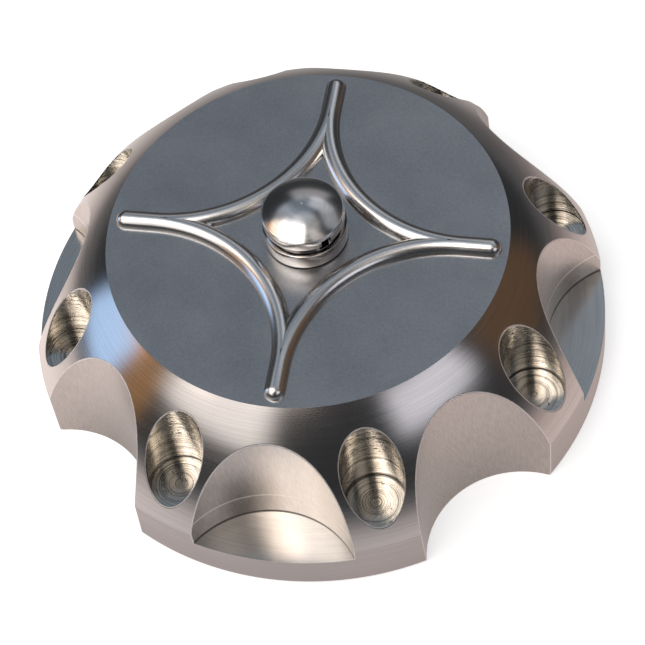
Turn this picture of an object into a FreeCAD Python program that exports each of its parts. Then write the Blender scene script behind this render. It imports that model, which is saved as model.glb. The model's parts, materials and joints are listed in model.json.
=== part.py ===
import FreeCAD, Part
import math
import os
import re

import Sketcher

# Screw-on fuel cap turned from billet, with a vent button in its top and the
# usual breather valves inside. Millimetres, +Z up, origin on the cap's axis in
# the plane of the rim's lower face. The star's right-hand arm points along +X.

doc = FreeCAD.newDocument("fuel_cap")
sheet = doc.addObject("Spreadsheet::Sheet", "sizes")

# Driving dimensions. Radii are from the axis of the feature that they name.
SIZES = {
    # Outside of the body
    "outer_radius": 42.0,
    "skirt_height": 8.3,
    "skirt_edge": 0.5,
    "flank_radius": 37.4,
    "disc_radius": 29.0,
    "disc_edge": 0.12,
    # Threaded bore and the stack above it, which adds up to the disc's height
    "bore_radius": 29.5,
    "bore_chamfer": 1.0,
    "thread_length": 8.5,
    "thread_relief": 0.7,
    "bore_depth": 14.9,
    "plate_thickness": 2.0,
    "plate_seal_thickness": 0.5,
    "seat_width": 4.4,
    "chamber_height": 6.0,
    "top_wall": 2.5,
    # Scallops through the rim and blind pockets between them, which lean inwards
    "wall_lean": 3.7,
    "cutter_overrun": 3.0,
    "scallop_radius": 13.35,
    "scallop_distance": 47.85,
    "pocket_radius": 13.55,
    "pocket_distance": 47.9,
    "pocket_floor": 5.9,
    # Drilled blind holes in the flank
    "drill_radius": 4.43,
    "drill_pitch_radius": 36.37,
    "drill_floor": 10.7,
    # Star of half-round ribs on the disc
    "rib_radius": 1.56,
    "rib_height": 1.45,
    "rib_root": 0.9,
    "rib_bend_radius": 22.3,
    "rib_reach": 26.4,
    # Vent bush, its seal and its nut
    "bush_seal_thickness": 0.3,
    "bush_seal_inset": 0.15,
    "bush_seal_width": 1.2,
    "collar_radius": 6.02,
    "collar_height": 2.6,
    "collar_floor": 0.6,
    "collar_lip": 0.1,
    "collar_bevel": 0.5,
    "barrel_radius": 4.5,
    "barrel_end": 0.2,
    "bush_gap": 0.05,
    "guide_length": 1.6,
    "guide_vent_radius": 0.5,
    "guide_vent_pitch_radius": 2.4,
    "nut_flats": 11.0,
    "nut_height": 2.0,
    "thread_gap": 0.02,
    # Vent button, its stem, clip and spring
    "button_travel": 1.2,
    "travel_gap": 0.1,
    "neck_radius": 5.15,
    "neck_gap": 0.1,
    "neck_flare": 0.45,
    "band_radius": 5.88,
    "band_height": 1.65,
    "dome_edge": 0.13,
    "dome_height": 1.55,
    "port_width": 1.5,
    "port_height": 1.6,
    "port_azimuth": -47.0,
    "air_radius": 2.3,
    "stem_radius": 1.5,
    "stem_grip": 0.8,
    "stem_end": 0.4,
    "guide_gap": 0.05,
    "clip_gap": 0.1,
    "clip_thickness": 0.5,
    "clip_width": 1.5,
    "button_wire": 0.22,
    "button_coil_radius": 2.75,
    "button_turns": 5,
    "spring_gap": 0.33,
    # Valve plate with its screws and baffle
    "plate_radius": 16.9,
    "plate_gap": 0.1,
    "seal_inset": 0.1,
    "screw_radius": 1.25,
    "screw_gap": 0.1,
    "screw_count": 6,
    "screw_rim": 2.0,
    "screw_grip": 3.5,
    "screw_tip_room": 0.5,
    "screw_head_radius": 2.3,
    "screw_head_height": 1.5,
    "screw_socket_flats": 2.0,
    "screw_socket_depth": 0.8,
    "baffle_wall": 0.6,
    "flange_width": 4.9,
    "baffle_room": 0.45,
    "drain_radius": 0.9,
    "drain_inset": 8.4,
    "drain_count": 8,
    # Vacuum valve, on the cap's axis
    "seat_gap": 0.05,
    "valve_play": 0.25,
    "vacuum_port_radius": 2.6,
    "vacuum_stem_radius": 1.2,
    "vacuum_disc_radius": 4.6,
    "vacuum_disc_thickness": 0.8,
    "vacuum_boss_radius": 2.0,
    "vacuum_boss_height": 0.4,
    "vacuum_seal_thickness": 0.8,
    "vacuum_seal_inset": 0.2,
    "vacuum_clip_radius": 3.7,
    "vacuum_clip_drop": 0.25,
    "vacuum_wire": 0.17,
    "vacuum_coil_radius": 3.15,
    "vacuum_turns": 3,
    "spring_pocket_radius": 3.7,
    "spring_pocket_depth": 0.6,
    # Relief valve, beside the vacuum valve
    "relief_inset": 7.7,
    "relief_port_radius": 1.6,
    "relief_pilot_radius": 1.1,
    "relief_pilot_end": 0.5,
    "relief_disc_radius": 2.9,
    "relief_disc_thickness": 0.8,
    "relief_seal_thickness": 0.6,
    "relief_boss_radius": 1.4,
    "relief_boss_height": 0.8,
    "relief_wire": 0.17,
    "relief_coil_radius": 1.75,
    "relief_turns": 6,
    "fit_gap": 0.02,
    # Rubber ring that the filler neck's mouth presses on
    "neck_seal_inner_radius": 22.5,
    "neck_seal_thickness": 2.0,
    "neck_seal_gap": 0.1,
}
for row, (alias, value) in enumerate(SIZES.items(), start=1):
    sheet.set("A%d" % row, alias.replace("_", " "))
    sheet.set("B%d" % row, str(value))
    sheet.setAlias("B%d" % row, alias)
doc.recompute()

# Heights above the rim's lower face, each as a sum of named sizes
PLATE_TOP = "bore_depth + plate_thickness"
LEDGE = PLATE_TOP + " + plate_seal_thickness"
CEILING = LEDGE + " + chamber_height"
DISC = CEILING + " + top_wall"
COLLAR_BASE = DISC + " + bush_seal_thickness"
COLLAR_FLOOR = COLLAR_BASE + " + collar_floor"
COLLAR_TOP = COLLAR_BASE + " + collar_height"
NECK_BASE = COLLAR_FLOOR + " + button_travel + travel_gap"
BAND_BASE = COLLAR_TOP + " + button_travel + travel_gap"
BAND_TOP = BAND_BASE + " + band_height"
DOME_TOP = BAND_TOP + " + dome_height"
NUT_BASE = CEILING + " - nut_height"
BARREL_BASE = NUT_BASE + " - barrel_end"
SPRING_FLOOR = BARREL_BASE + " + guide_length"
CLIP_TOP = BARREL_BASE + " - clip_gap"
CLIP_BASE = CLIP_TOP + " - clip_thickness"
STEM_BASE = CLIP_BASE + " - stem_end"
VACUUM_TOP = STEM_BASE + " - valve_play"
VACUUM_CLIP_TOP = VACUUM_TOP + " - vacuum_clip_drop"
VACUUM_CLIP_BASE = VACUUM_CLIP_TOP + " - clip_thickness"
VACUUM_SPRING_FLOOR = PLATE_TOP + " - spring_pocket_depth"
VACUUM_SEAL_TOP = "bore_depth - seat_gap"
VACUUM_DISC_TOP = VACUUM_SEAL_TOP + " - vacuum_seal_thickness"
VACUUM_DISC_BASE = VACUUM_DISC_TOP + " - vacuum_disc_thickness"
RELIEF_SEAL_BASE = PLATE_TOP + " + seat_gap"
RELIEF_DISC_BASE = RELIEF_SEAL_BASE + " + relief_seal_thickness"
RELIEF_DISC_TOP = RELIEF_DISC_BASE + " + relief_disc_thickness"
FLANGE_BASE = "bore_depth - baffle_wall"
BAFFLE_FLOOR = VACUUM_DISC_BASE + " - vacuum_boss_height - button_travel - baffle_room"
BAFFLE_BASE = BAFFLE_FLOOR + " - baffle_wall"

# Distances from the cap's axis that follow the valve plate's radius
SCREW_PITCH = "plate_radius - screw_rim"
CHAMBER_RADIUS = "plate_radius - seat_width"
BAFFLE_RADIUS = "plate_radius - flange_width"
RELIEF_OFFSET = "plate_radius - relief_inset"
DRAIN_PITCH = "plate_radius - drain_inset"

# Third entry of an outline's corner where the arc's centre is on the axis
AXIAL = "axial"


def bind(expression):
    """Point each named size in an expression at its cell."""
    def cell(match):
        word = match.group(0)
        return "sizes." + word if word in SIZES else word
    return re.sub(r"[a-z_]+", cell, expression)


def amount(expression):
    """Work out a sum of named sizes, which is what outlines are written in."""
    total = 0.0
    sign = 1.0
    for word in expression.split():
        if word in "+-":
            sign = 1.0 if word == "+" else -1.0
        else:
            total += sign * float(SIZES.get(word, word))
    return total


def plane(body, role):
    """Find one of the body's own origin planes."""
    for feature in body.Origin.OriginFeatures:
        if feature.Role == role:
            return feature
    raise ValueError("no plane " + role)


def hold_point(sketch, geometry, vertex, across, up):
    """Tie a sketch point to its two distances from the origin."""
    for kind, axis, distance in (("DistanceX", -2, across), ("DistanceY", -1, up)):
        if distance == "0":
            sketch.addConstraint(Sketcher.Constraint("PointOnObject", geometry, vertex, axis))
            continue
        rule = Sketcher.Constraint(kind, -1, 1, geometry, vertex, amount(distance))
        index = sketch.addConstraint(rule)
        sketch.setExpression("Constraints[%d]" % index, bind(distance))


def arc_radius(start, end, rule):
    """Radius of an outline's arc, which for a dome follows from its height."""
    if rule != AXIAL:
        return amount(rule)
    rise = end.y - start.y
    return (start.x ** 2 + rise ** 2) / (2 * rise)


def arc_between(start, end, radius):
    """Arc that bulges to the right of the way from start to end."""
    chord = end - start
    middle = (start + end) * 0.5
    rise = math.sqrt(radius ** 2 - (chord.Length / 2) ** 2)
    left = FreeCAD.Vector(-chord.y, chord.x, 0).normalize()
    centre = middle + left * rise
    first = math.atan2(start.y - centre.y, start.x - centre.x)
    last = math.atan2(end.y - centre.y, end.x - centre.x)
    circle = Part.Circle(centre, FreeCAD.Vector(0, 0, 1), radius)
    return Part.ArcOfCircle(circle, first, last)


def draw_outline(sketch, corners):
    """Draw a closed outline; a third entry makes the stretch after a corner an arc."""
    points = [FreeCAD.Vector(amount(corner[0]), amount(corner[1]), 0) for corner in corners]
    for index, corner in enumerate(corners):
        start = points[index]
        end = points[(index + 1) % len(corners)]
        if len(corner) == 2:
            sketch.addGeometry(Part.LineSegment(start, end), False)
        else:
            sketch.addGeometry(arc_between(start, end, arc_radius(start, end, corner[2])), False)
    for index, corner in enumerate(corners):
        before = (index - 1) % len(corners)
        sketch.addConstraint(Sketcher.Constraint("Coincident", before, 2, index, 1))
        hold_point(sketch, index, 1, corner[0], corner[1])
        if corner[-1] == AXIAL:
            sketch.addConstraint(Sketcher.Constraint("PointOnObject", index, 3, -2))
        elif len(corner) == 3:
            rule = Sketcher.Constraint("Radius", index, amount(corner[2]))
            place = sketch.addConstraint(rule)
            sketch.setExpression("Constraints[%d]" % place, bind(corner[2]))


def turned_body(label, corners, offset="0"):
    """Turn a closed outline of radius and height round the upright axis."""
    body = doc.addObject("PartDesign::Body", label)
    sketch = body.newObject("Sketcher::SketchObject", label + "_outline")
    sketch.AttachmentSupport = [(plane(body, "XZ_Plane"), "")]
    sketch.MapMode = "FlatFace"
    draw_outline(sketch, corners)
    turn = body.newObject("PartDesign::Revolution", label + "_turn")
    turn.Profile = (sketch, [""])
    turn.ReferenceAxis = (sketch, ["V_Axis"])
    turn.Angle = 360
    body.Tip = turn
    body.setExpression("Placement.Base.x", bind(offset))
    return body


def coil_body(label, floor, top, wire, coil_radius, turns, offset="0"):
    """Wind a round wire into a spring between two seats."""
    body = doc.addObject("PartDesign::Body", label)
    sketch = body.newObject("Sketcher::SketchObject", label + "_wire")
    sketch.AttachmentSupport = [(plane(body, "XZ_Plane"), "")]
    sketch.MapMode = "FlatFace"
    lowest = floor + " + " + wire
    centre = FreeCAD.Vector(amount(coil_radius), amount(lowest), 0)
    circle = Part.Circle(centre, FreeCAD.Vector(0, 0, 1), amount(wire))
    sketch.addGeometry(circle, False)
    hold_point(sketch, 0, 3, coil_radius, lowest)
    rule = sketch.addConstraint(Sketcher.Constraint("Radius", 0, amount(wire)))
    sketch.setExpression("Constraints[%d]" % rule, bind(wire))
    coil = body.newObject("PartDesign::AdditiveHelix", label + "_coil")
    coil.Profile = (sketch, [""])
    coil.ReferenceAxis = (sketch, ["V_Axis"])
    coil.Mode = "height-turns-angle"
    coil.setExpression("Height", bind("(" + top + ") - (" + floor + ") - 2 * " + wire))
    coil.setExpression("Turns", bind(turns))
    body.Tip = coil
    body.setExpression("Placement.Base.x", bind(offset))
    return body


def primitive(kind, name, **expressions):
    """Add a primitive whose sizes and place are expressions."""
    shape = doc.addObject("Part::" + kind, name)
    for size, expression in expressions.items():
        shape.setExpression(size.replace("__", "."), bind(expression))
    return shape


def upright(name, radius, base, top, distance="0", azimuth=0.0):
    """Add an upright cylinder at a distance and azimuth from the axis."""
    return primitive(
        "Cylinder", name, Radius=radius, Height="(" + top + ") - (" + base + ")",
        Placement__Base__x="(" + distance + ") * cos(%g)" % azimuth,
        Placement__Base__y="(" + distance + ") * sin(%g)" % azimuth,
        Placement__Base__z=base,
    )


def joined(name, shapes):
    """Fuse several shapes into one."""
    fuse = doc.addObject("Part::MultiFuse", name)
    fuse.Shapes = shapes
    return fuse


def cut(name, base, tool):
    """Take one shape out of another."""
    result = doc.addObject("Part::Cut", name)
    result.Base = base
    result.Tool = tool
    return result


def common(name, base, tool):
    """Keep what two shapes share."""
    result = doc.addObject("Part::Common", name)
    result.Base = base
    result.Tool = tool
    return result


def ring_azimuths(count, first=0.0):
    """Azimuths of evenly spaced features."""
    return [first + 360.0 * index / count for index in range(int(count))]


# Cutters that lean inwards towards the top, for the scallops and the pockets

def leaning(name, radius, distance, azimuth):
    """Add a cylinder that is distance from the axis at the rim's lower face."""
    foot = "(" + distance + " + cutter_overrun * tan(wall_lean)) * "
    shape = primitive(
        "Cylinder", name, Radius=radius, Height=DISC + " + 2 * cutter_overrun",
        Placement__Base__x=foot + "cos(%g)" % azimuth,
        Placement__Base__y=foot + "sin(%g)" % azimuth,
        Placement__Base__z="0 - cutter_overrun",
        Placement__Rotation__Angle="wall_lean",
    )
    angle = math.radians(azimuth)
    shape.Placement.Rotation = FreeCAD.Rotation(
        FreeCAD.Vector(math.sin(angle), -math.cos(angle), 0), SIZES["wall_lean"])
    return shape


def build_blank():
    """Turned blank with its rounded flank, threaded bore and valve chamber."""
    pocket_radius = "plate_radius + plate_gap"
    bush_bore = "barrel_radius + bush_gap"
    return turned_body("blank", [
        ("bore_radius + bore_chamfer", "0"),
        ("outer_radius - skirt_edge", "0", "skirt_edge"),
        ("outer_radius", "skirt_edge"),
        ("outer_radius", "skirt_height", "flank_radius"),
        ("disc_radius", DISC + " - disc_edge"),
        ("disc_radius - disc_edge", DISC),
        (bush_bore, DISC),
        (bush_bore, CEILING),
        (CHAMBER_RADIUS, CEILING),
        (CHAMBER_RADIUS, LEDGE),
        (pocket_radius, LEDGE),
        (pocket_radius, "bore_depth"),
        ("bore_radius + thread_relief", "bore_depth"),
        ("bore_radius + thread_relief", "bore_chamfer + thread_length"),
        ("bore_radius", "bore_chamfer + thread_length"),
        ("bore_radius", "bore_chamfer"),
    ])


def build_rim_cutters():
    """Scallops, pockets, drilled holes and the plate screws' tapped holes."""
    scallops = []
    pockets = []
    for number in range(4):
        scallops.append(leaning("scallop_%d" % number, "scallop_radius", "scallop_distance", 45 + 90 * number))
        pockets.append(leaning("pocket_%d" % number, "pocket_radius", "pocket_distance", 90 * number))
    above_floor = upright("above_floor", "2 * outer_radius", "pocket_floor", DISC + " + 2 * cutter_overrun")
    blind = common("blind_pockets", joined("pockets", pockets), above_floor)
    drills = []
    for number, azimuth in enumerate(ring_azimuths(8, 22.5)):
        drills.append(upright("drill_%d" % number, "drill_radius", "drill_floor", DISC, "drill_pitch_radius", azimuth))
    taps = []
    for number, azimuth in enumerate(ring_azimuths(SIZES["screw_count"], 30)):
        taps.append(upright(
            "tap_%d" % number, "screw_radius + fit_gap", LEDGE + " - plate_seal_thickness",
            LEDGE + " + screw_grip + screw_tip_room", SCREW_PITCH, azimuth))
    return joined("rim_cutters", scallops + [blind] + drills + taps)


def build_star():
    """Four bent half-round ribs that meet in the star's arms."""
    centre = DISC + " + rib_height - rib_radius"
    quarters = []
    for number in range(4):
        name = "rib_%d_" % number
        bend = primitive("Torus", name + "bend", Radius1="rib_bend_radius", Radius2="rib_radius", Angle3="90")
        bend.Placement = FreeCAD.Placement(FreeCAD.Vector(), FreeCAD.Rotation(FreeCAD.Vector(0, 0, 1), 180))
        bend.setExpression("Placement.Base.x", bind("rib_bend_radius"))
        bend.setExpression("Placement.Base.y", bind("rib_bend_radius"))
        bend.setExpression("Placement.Base.z", bind(centre))
        pieces = [bend]
        for arm, axis in (("east", FreeCAD.Vector(0, 1, 0)), ("north", FreeCAD.Vector(-1, 0, 0))):
            along = "x" if arm == "east" else "y"
            run = primitive("Cylinder", name + arm, Radius="rib_radius", Height="rib_reach - rib_bend_radius")
            tip = primitive("Sphere", name + arm + "_tip", Radius="rib_radius", Angle1="0", Angle2="90")
            for piece, distance in ((run, "rib_bend_radius"), (tip, "rib_reach")):
                piece.Placement = FreeCAD.Placement(FreeCAD.Vector(), FreeCAD.Rotation(axis, 90))
                piece.setExpression("Placement.Base." + along, bind(distance))
                piece.setExpression("Placement.Base.z", bind(centre))
                pieces.append(piece)
        whole = joined(name + "whole", pieces)
        block = primitive(
            "Box", name + "block", Length="disc_radius", Width="disc_radius",
            Height="rib_height + rib_root", Placement__Base__z=DISC + " - rib_root")
        quarter = common(name + "quarter", whole, block)
        quarter.Placement = FreeCAD.Placement(
            FreeCAD.Vector(), FreeCAD.Rotation(FreeCAD.Vector(0, 0, 1), 90 * number))
        quarters.append(quarter)
    return joined("star", quarters)


def build_cap_body():
    """One billet: blank with its cuts and the star standing on its top."""
    shaped = cut("shaped_blank", build_blank(), build_rim_cutters())
    return joined("cap_body", [shaped, build_star()])


def build_neck_gasket():
    """Rubber ring held in the undercut at the top of the threaded bore."""
    outer = "bore_radius + thread_relief - neck_seal_gap"
    base = "bore_depth - neck_seal_thickness"
    return turned_body("neck_gasket", [
        ("neck_seal_inner_radius", base), (outer, base),
        (outer, "bore_depth"), ("neck_seal_inner_radius", "bore_depth"),
    ])


def build_bush_gasket():
    """Thin black seal between the bush's collar and the disc."""
    outer = "collar_radius - bush_seal_inset"
    inner = outer + " - bush_seal_width"
    return turned_body("bush_gasket", [(inner, DISC), (outer, DISC), (outer, COLLAR_BASE), (inner, COLLAR_BASE)])


def build_vent_bush():
    """Collar and barrel that guide the button, with air holes in its floor."""
    well = "neck_radius + neck_gap"
    spring_bore = "button_coil_radius + button_wire + spring_gap"
    guide = "stem_radius + guide_gap"
    turned = turned_body("bush_turned", [
        (guide, BARREL_BASE),
        ("barrel_radius", BARREL_BASE),
        ("barrel_radius", COLLAR_BASE),
        ("collar_radius", COLLAR_BASE),
        ("collar_radius", COLLAR_TOP),
        ("collar_radius - collar_lip", COLLAR_TOP),
        (well, COLLAR_TOP + " - collar_bevel"),
        (well, COLLAR_FLOOR),
        (spring_bore, COLLAR_FLOOR),
        (spring_bore, SPRING_FLOOR),
        (guide, SPRING_FLOOR),
    ])
    holes = []
    for number, azimuth in enumerate(ring_azimuths(3, 90)):
        holes.append(upright(
            "guide_vent_%d" % number, "guide_vent_radius", BARREL_BASE + " - barrel_end",
            SPRING_FLOOR + " + barrel_end", "guide_vent_pitch_radius", azimuth))
    return cut("vent_bush", turned, joined("guide_vents", holes))


def build_bush_nut():
    """Thin hexagon nut that pulls the bush down from inside."""
    hexagon = primitive(
        "Prism", "nut_hexagon", Circumradius="nut_flats / sqrt(3)", Height="nut_height",
        Placement__Base__z=NUT_BASE)
    hexagon.Polygon = 6
    hexagon.Placement.Rotation = FreeCAD.Rotation(FreeCAD.Vector(0, 0, 1), 30)
    bore = upright("nut_bore", "barrel_radius + thread_gap", NUT_BASE + " - barrel_end", CEILING + " + barrel_end")
    return cut("bush_nut", hexagon, bore)


def build_vent_button():
    """Domed head on a grooved neck, with a side port into its air bore."""
    grip = "stem_radius + fit_gap"
    turned = turned_body("button_turned", [
        ("air_radius", NECK_BASE),
        ("neck_radius", NECK_BASE),
        ("neck_radius", BAND_BASE + " - neck_flare"),
        ("band_radius", BAND_BASE),
        ("band_radius", BAND_TOP),
        ("band_radius - dome_edge", BAND_TOP, AXIAL),
        ("0", DOME_TOP),
        ("0", BAND_BASE + " + stem_grip"),
        (grip, BAND_BASE + " + stem_grip"),
        (grip, BAND_BASE),
        ("air_radius", BAND_BASE),
    ])
    port = primitive(
        "Box", "port", Length="band_radius", Width="port_width", Height="port_height",
        Placement__Base__x="(air_radius - travel_gap) * cos(port_azimuth) + port_width / 2 * sin(port_azimuth)",
        Placement__Base__y="(air_radius - travel_gap) * sin(port_azimuth) - port_width / 2 * cos(port_azimuth)",
        Placement__Base__z=BAND_BASE + " - port_height",
        Placement__Rotation__Angle="port_azimuth")
    port.Placement.Rotation = FreeCAD.Rotation(FreeCAD.Vector(0, 0, 1), SIZES["port_azimuth"])
    return cut("vent_button", turned, port)


def build_button_stem():
    """Pin that the button pushes the vacuum valve with."""
    top = BAND_BASE + " + stem_grip"
    return turned_body("button_stem", [("0", STEM_BASE), ("stem_radius", STEM_BASE), ("stem_radius", top), ("0", top)])


def build_button_clip():
    """Retaining ring under the barrel, which stops the button's way up."""
    inner = "stem_radius + fit_gap"
    outer = "stem_radius + clip_width"
    return turned_body("button_clip", [(inner, CLIP_BASE), (outer, CLIP_BASE), (outer, CLIP_TOP), (inner, CLIP_TOP)])


def build_valve_plate():
    """Round plate that carries both valves, bored for them and for its screws."""
    turned = turned_body("plate_turned", [
        ("vacuum_port_radius", "bore_depth"),
        ("plate_radius", "bore_depth"),
        ("plate_radius", PLATE_TOP),
        ("spring_pocket_radius", PLATE_TOP),
        ("spring_pocket_radius", VACUUM_SPRING_FLOOR),
        ("vacuum_port_radius", VACUUM_SPRING_FLOOR),
    ])
    low = "bore_depth - plate_thickness"
    high = PLATE_TOP + " + plate_thickness"
    holes = [upright("relief_port", "relief_port_radius", low, high, RELIEF_OFFSET, 180)]
    for number, azimuth in enumerate(ring_azimuths(SIZES["screw_count"], 30)):
        holes.append(upright(
            "plate_hole_%d" % number, "screw_radius + screw_gap", low, high, SCREW_PITCH, azimuth))
    return cut("valve_plate", turned, joined("plate_holes", holes))


def build_plate_gasket():
    """Flat seal between the plate and its ledge in the body."""
    inner = CHAMBER_RADIUS + " + seal_inset"
    turned = turned_body("plate_seal_turned", [
        (inner, PLATE_TOP), ("plate_radius", PLATE_TOP), ("plate_radius", LEDGE), (inner, LEDGE),
    ])
    holes = []
    for number, azimuth in enumerate(ring_azimuths(SIZES["screw_count"], 30)):
        holes.append(upright(
            "seal_hole_%d" % number, "screw_radius + screw_gap", "bore_depth", CEILING, SCREW_PITCH, azimuth))
    return cut("plate_gasket", turned, joined("seal_holes", holes))


def build_plate_screws():
    """Socket-headed screws that hold the baffle and the plate up."""
    head_base = FLANGE_BASE + " - screw_head_height"
    screws = []
    for number, azimuth in enumerate(ring_azimuths(SIZES["screw_count"], 30)):
        name = "screw_%d_" % number
        place = (SCREW_PITCH, azimuth)
        head = upright(name + "head", "screw_head_radius", head_base, FLANGE_BASE, *place)
        shank = upright(name + "shank", "screw_radius", FLANGE_BASE, LEDGE + " + screw_grip", *place)
        socket = primitive(
            "Prism", name + "socket", Circumradius="screw_socket_flats / sqrt(3)", Height="screw_socket_depth",
            Placement__Base__x="(" + SCREW_PITCH + ") * cos(%g)" % azimuth,
            Placement__Base__y="(" + SCREW_PITCH + ") * sin(%g)" % azimuth,
            Placement__Base__z=head_base)
        socket.Polygon = 6
        screws.append(cut(name + "cut", joined(name + "solid", [head, shank]), socket))
    together = doc.addObject("Part::Compound", "plate_screws")
    together.Links = screws
    return together


def build_splash_baffle():
    """Pressed cup that keeps fuel off the valves, with drain holes."""
    inner = BAFFLE_RADIUS + " - baffle_wall"
    turned = turned_body("baffle_turned", [
        ("0", BAFFLE_BASE),
        (BAFFLE_RADIUS, BAFFLE_BASE),
        (BAFFLE_RADIUS, FLANGE_BASE),
        ("plate_radius", FLANGE_BASE),
        ("plate_radius", "bore_depth"),
        (inner, "bore_depth"),
        (inner, BAFFLE_FLOOR),
        ("0", BAFFLE_FLOOR),
    ])
    holes = []
    for number, azimuth in enumerate(ring_azimuths(SIZES["drain_count"])):
        holes.append(upright(
            "drain_%d" % number, "drain_radius", BAFFLE_BASE + " - baffle_wall",
            BAFFLE_FLOOR + " + baffle_wall", DRAIN_PITCH, azimuth))
    for number, azimuth in enumerate(ring_azimuths(SIZES["screw_count"], 30)):
        holes.append(upright(
            "flange_hole_%d" % number, "screw_radius + screw_gap", FLANGE_BASE + " - baffle_wall",
            "bore_depth + baffle_wall", SCREW_PITCH, azimuth))
    return cut("splash_baffle", turned, joined("baffle_holes", holes))


def build_vacuum_valve():
    """Disc under the plate on a stem that the button's pin can push."""
    boss_base = VACUUM_DISC_BASE + " - vacuum_boss_height"
    return turned_body("vacuum_valve", [
        ("0", boss_base),
        ("vacuum_boss_radius", boss_base),
        ("vacuum_boss_radius", VACUUM_DISC_BASE),
        ("vacuum_disc_radius", VACUUM_DISC_BASE),
        ("vacuum_disc_radius", VACUUM_DISC_TOP),
        ("vacuum_stem_radius", VACUUM_DISC_TOP),
        ("vacuum_stem_radius", VACUUM_TOP),
        ("0", VACUUM_TOP),
    ])


def build_vacuum_seal():
    """Rubber ring on the vacuum valve's disc."""
    inner = "vacuum_stem_radius + fit_gap"
    outer = "vacuum_disc_radius - vacuum_seal_inset"
    return turned_body("vacuum_seal", [
        (inner, VACUUM_DISC_TOP), (outer, VACUUM_DISC_TOP), (outer, VACUUM_SEAL_TOP), (inner, VACUUM_SEAL_TOP),
    ])


def build_vacuum_clip():
    """Retainer on the vacuum valve's stem, which its spring pushes up."""
    inner = "vacuum_stem_radius + fit_gap"
    return turned_body("vacuum_clip", [
        (inner, VACUUM_CLIP_BASE), ("vacuum_clip_radius", VACUUM_CLIP_BASE),
        ("vacuum_clip_radius", VACUUM_CLIP_TOP), (inner, VACUUM_CLIP_TOP),
    ])


def build_relief_valve():
    """Disc over the relief port, with a pilot below and a spring boss above."""
    boss_top = RELIEF_DISC_TOP + " + relief_boss_height"
    pilot_base = "bore_depth - relief_pilot_end"
    return turned_body("relief_valve", [
        ("0", pilot_base),
        ("relief_pilot_radius", pilot_base),
        ("relief_pilot_radius", RELIEF_DISC_BASE),
        ("relief_disc_radius", RELIEF_DISC_BASE),
        ("relief_disc_radius", RELIEF_DISC_TOP),
        ("relief_boss_radius", RELIEF_DISC_TOP),
        ("relief_boss_radius", boss_top),
        ("0", boss_top),
    ], "relief_inset - plate_radius")


def build_relief_seal():
    """Rubber ring between the relief valve and the plate."""
    inner = "relief_pilot_radius + fit_gap"
    return turned_body("relief_seal", [
        (inner, RELIEF_SEAL_BASE), ("relief_disc_radius", RELIEF_SEAL_BASE),
        ("relief_disc_radius", RELIEF_DISC_BASE), (inner, RELIEF_DISC_BASE),
    ], "relief_inset - plate_radius")


parts = [
    build_cap_body(),
    build_neck_gasket(),
    build_bush_gasket(),
    build_vent_bush(),
    build_bush_nut(),
    build_vent_button(),
    build_button_stem(),
    build_button_clip(),
    coil_body(
        "button_spring", SPRING_FLOOR, NECK_BASE, "button_wire", "button_coil_radius", "button_turns"),
    build_valve_plate(),
    build_plate_gasket(),
    build_plate_screws(),
    build_splash_baffle(),
    build_vacuum_valve(),
    build_vacuum_seal(),
    build_vacuum_clip(),
    coil_body(
        "vacuum_spring", VACUUM_SPRING_FLOOR, VACUUM_CLIP_BASE,
        "vacuum_wire", "vacuum_coil_radius", "vacuum_turns"),
    build_relief_valve(),
    build_relief_seal(),
    coil_body(
        "relief_spring", RELIEF_DISC_TOP, CEILING, "relief_wire", "relief_coil_radius",
        "relief_turns", "relief_inset - plate_radius"),
]
doc.recompute()

for item in doc.Objects:
    if "Invalid" in item.State or "Error" in item.State:
        raise RuntimeError("failed object: " + item.Name)
os.makedirs("parts", exist_ok=True)
for item in parts:
    if item.Shape.isNull() or not item.Shape.isValid():
        raise RuntimeError("bad shape: " + item.Label)
    print("%-14s solids %d volume %.2f mm3" % (item.Label, len(item.Shape.Solids), item.Shape.Volume))
for item in parts:
    item.Shape.exportStep("parts/" + item.Label + ".step")
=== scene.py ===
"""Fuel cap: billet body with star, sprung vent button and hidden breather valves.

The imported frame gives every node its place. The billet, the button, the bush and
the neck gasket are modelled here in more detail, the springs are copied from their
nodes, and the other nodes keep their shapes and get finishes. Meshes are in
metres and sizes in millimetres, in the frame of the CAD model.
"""
from __future__ import annotations

import json
import logging
import math
from contextlib import contextmanager
from dataclasses import dataclass, field
from enum import Enum
from typing import Callable, Iterable, Iterator

import bpy
from mathutils import Matrix, Vector

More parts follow.
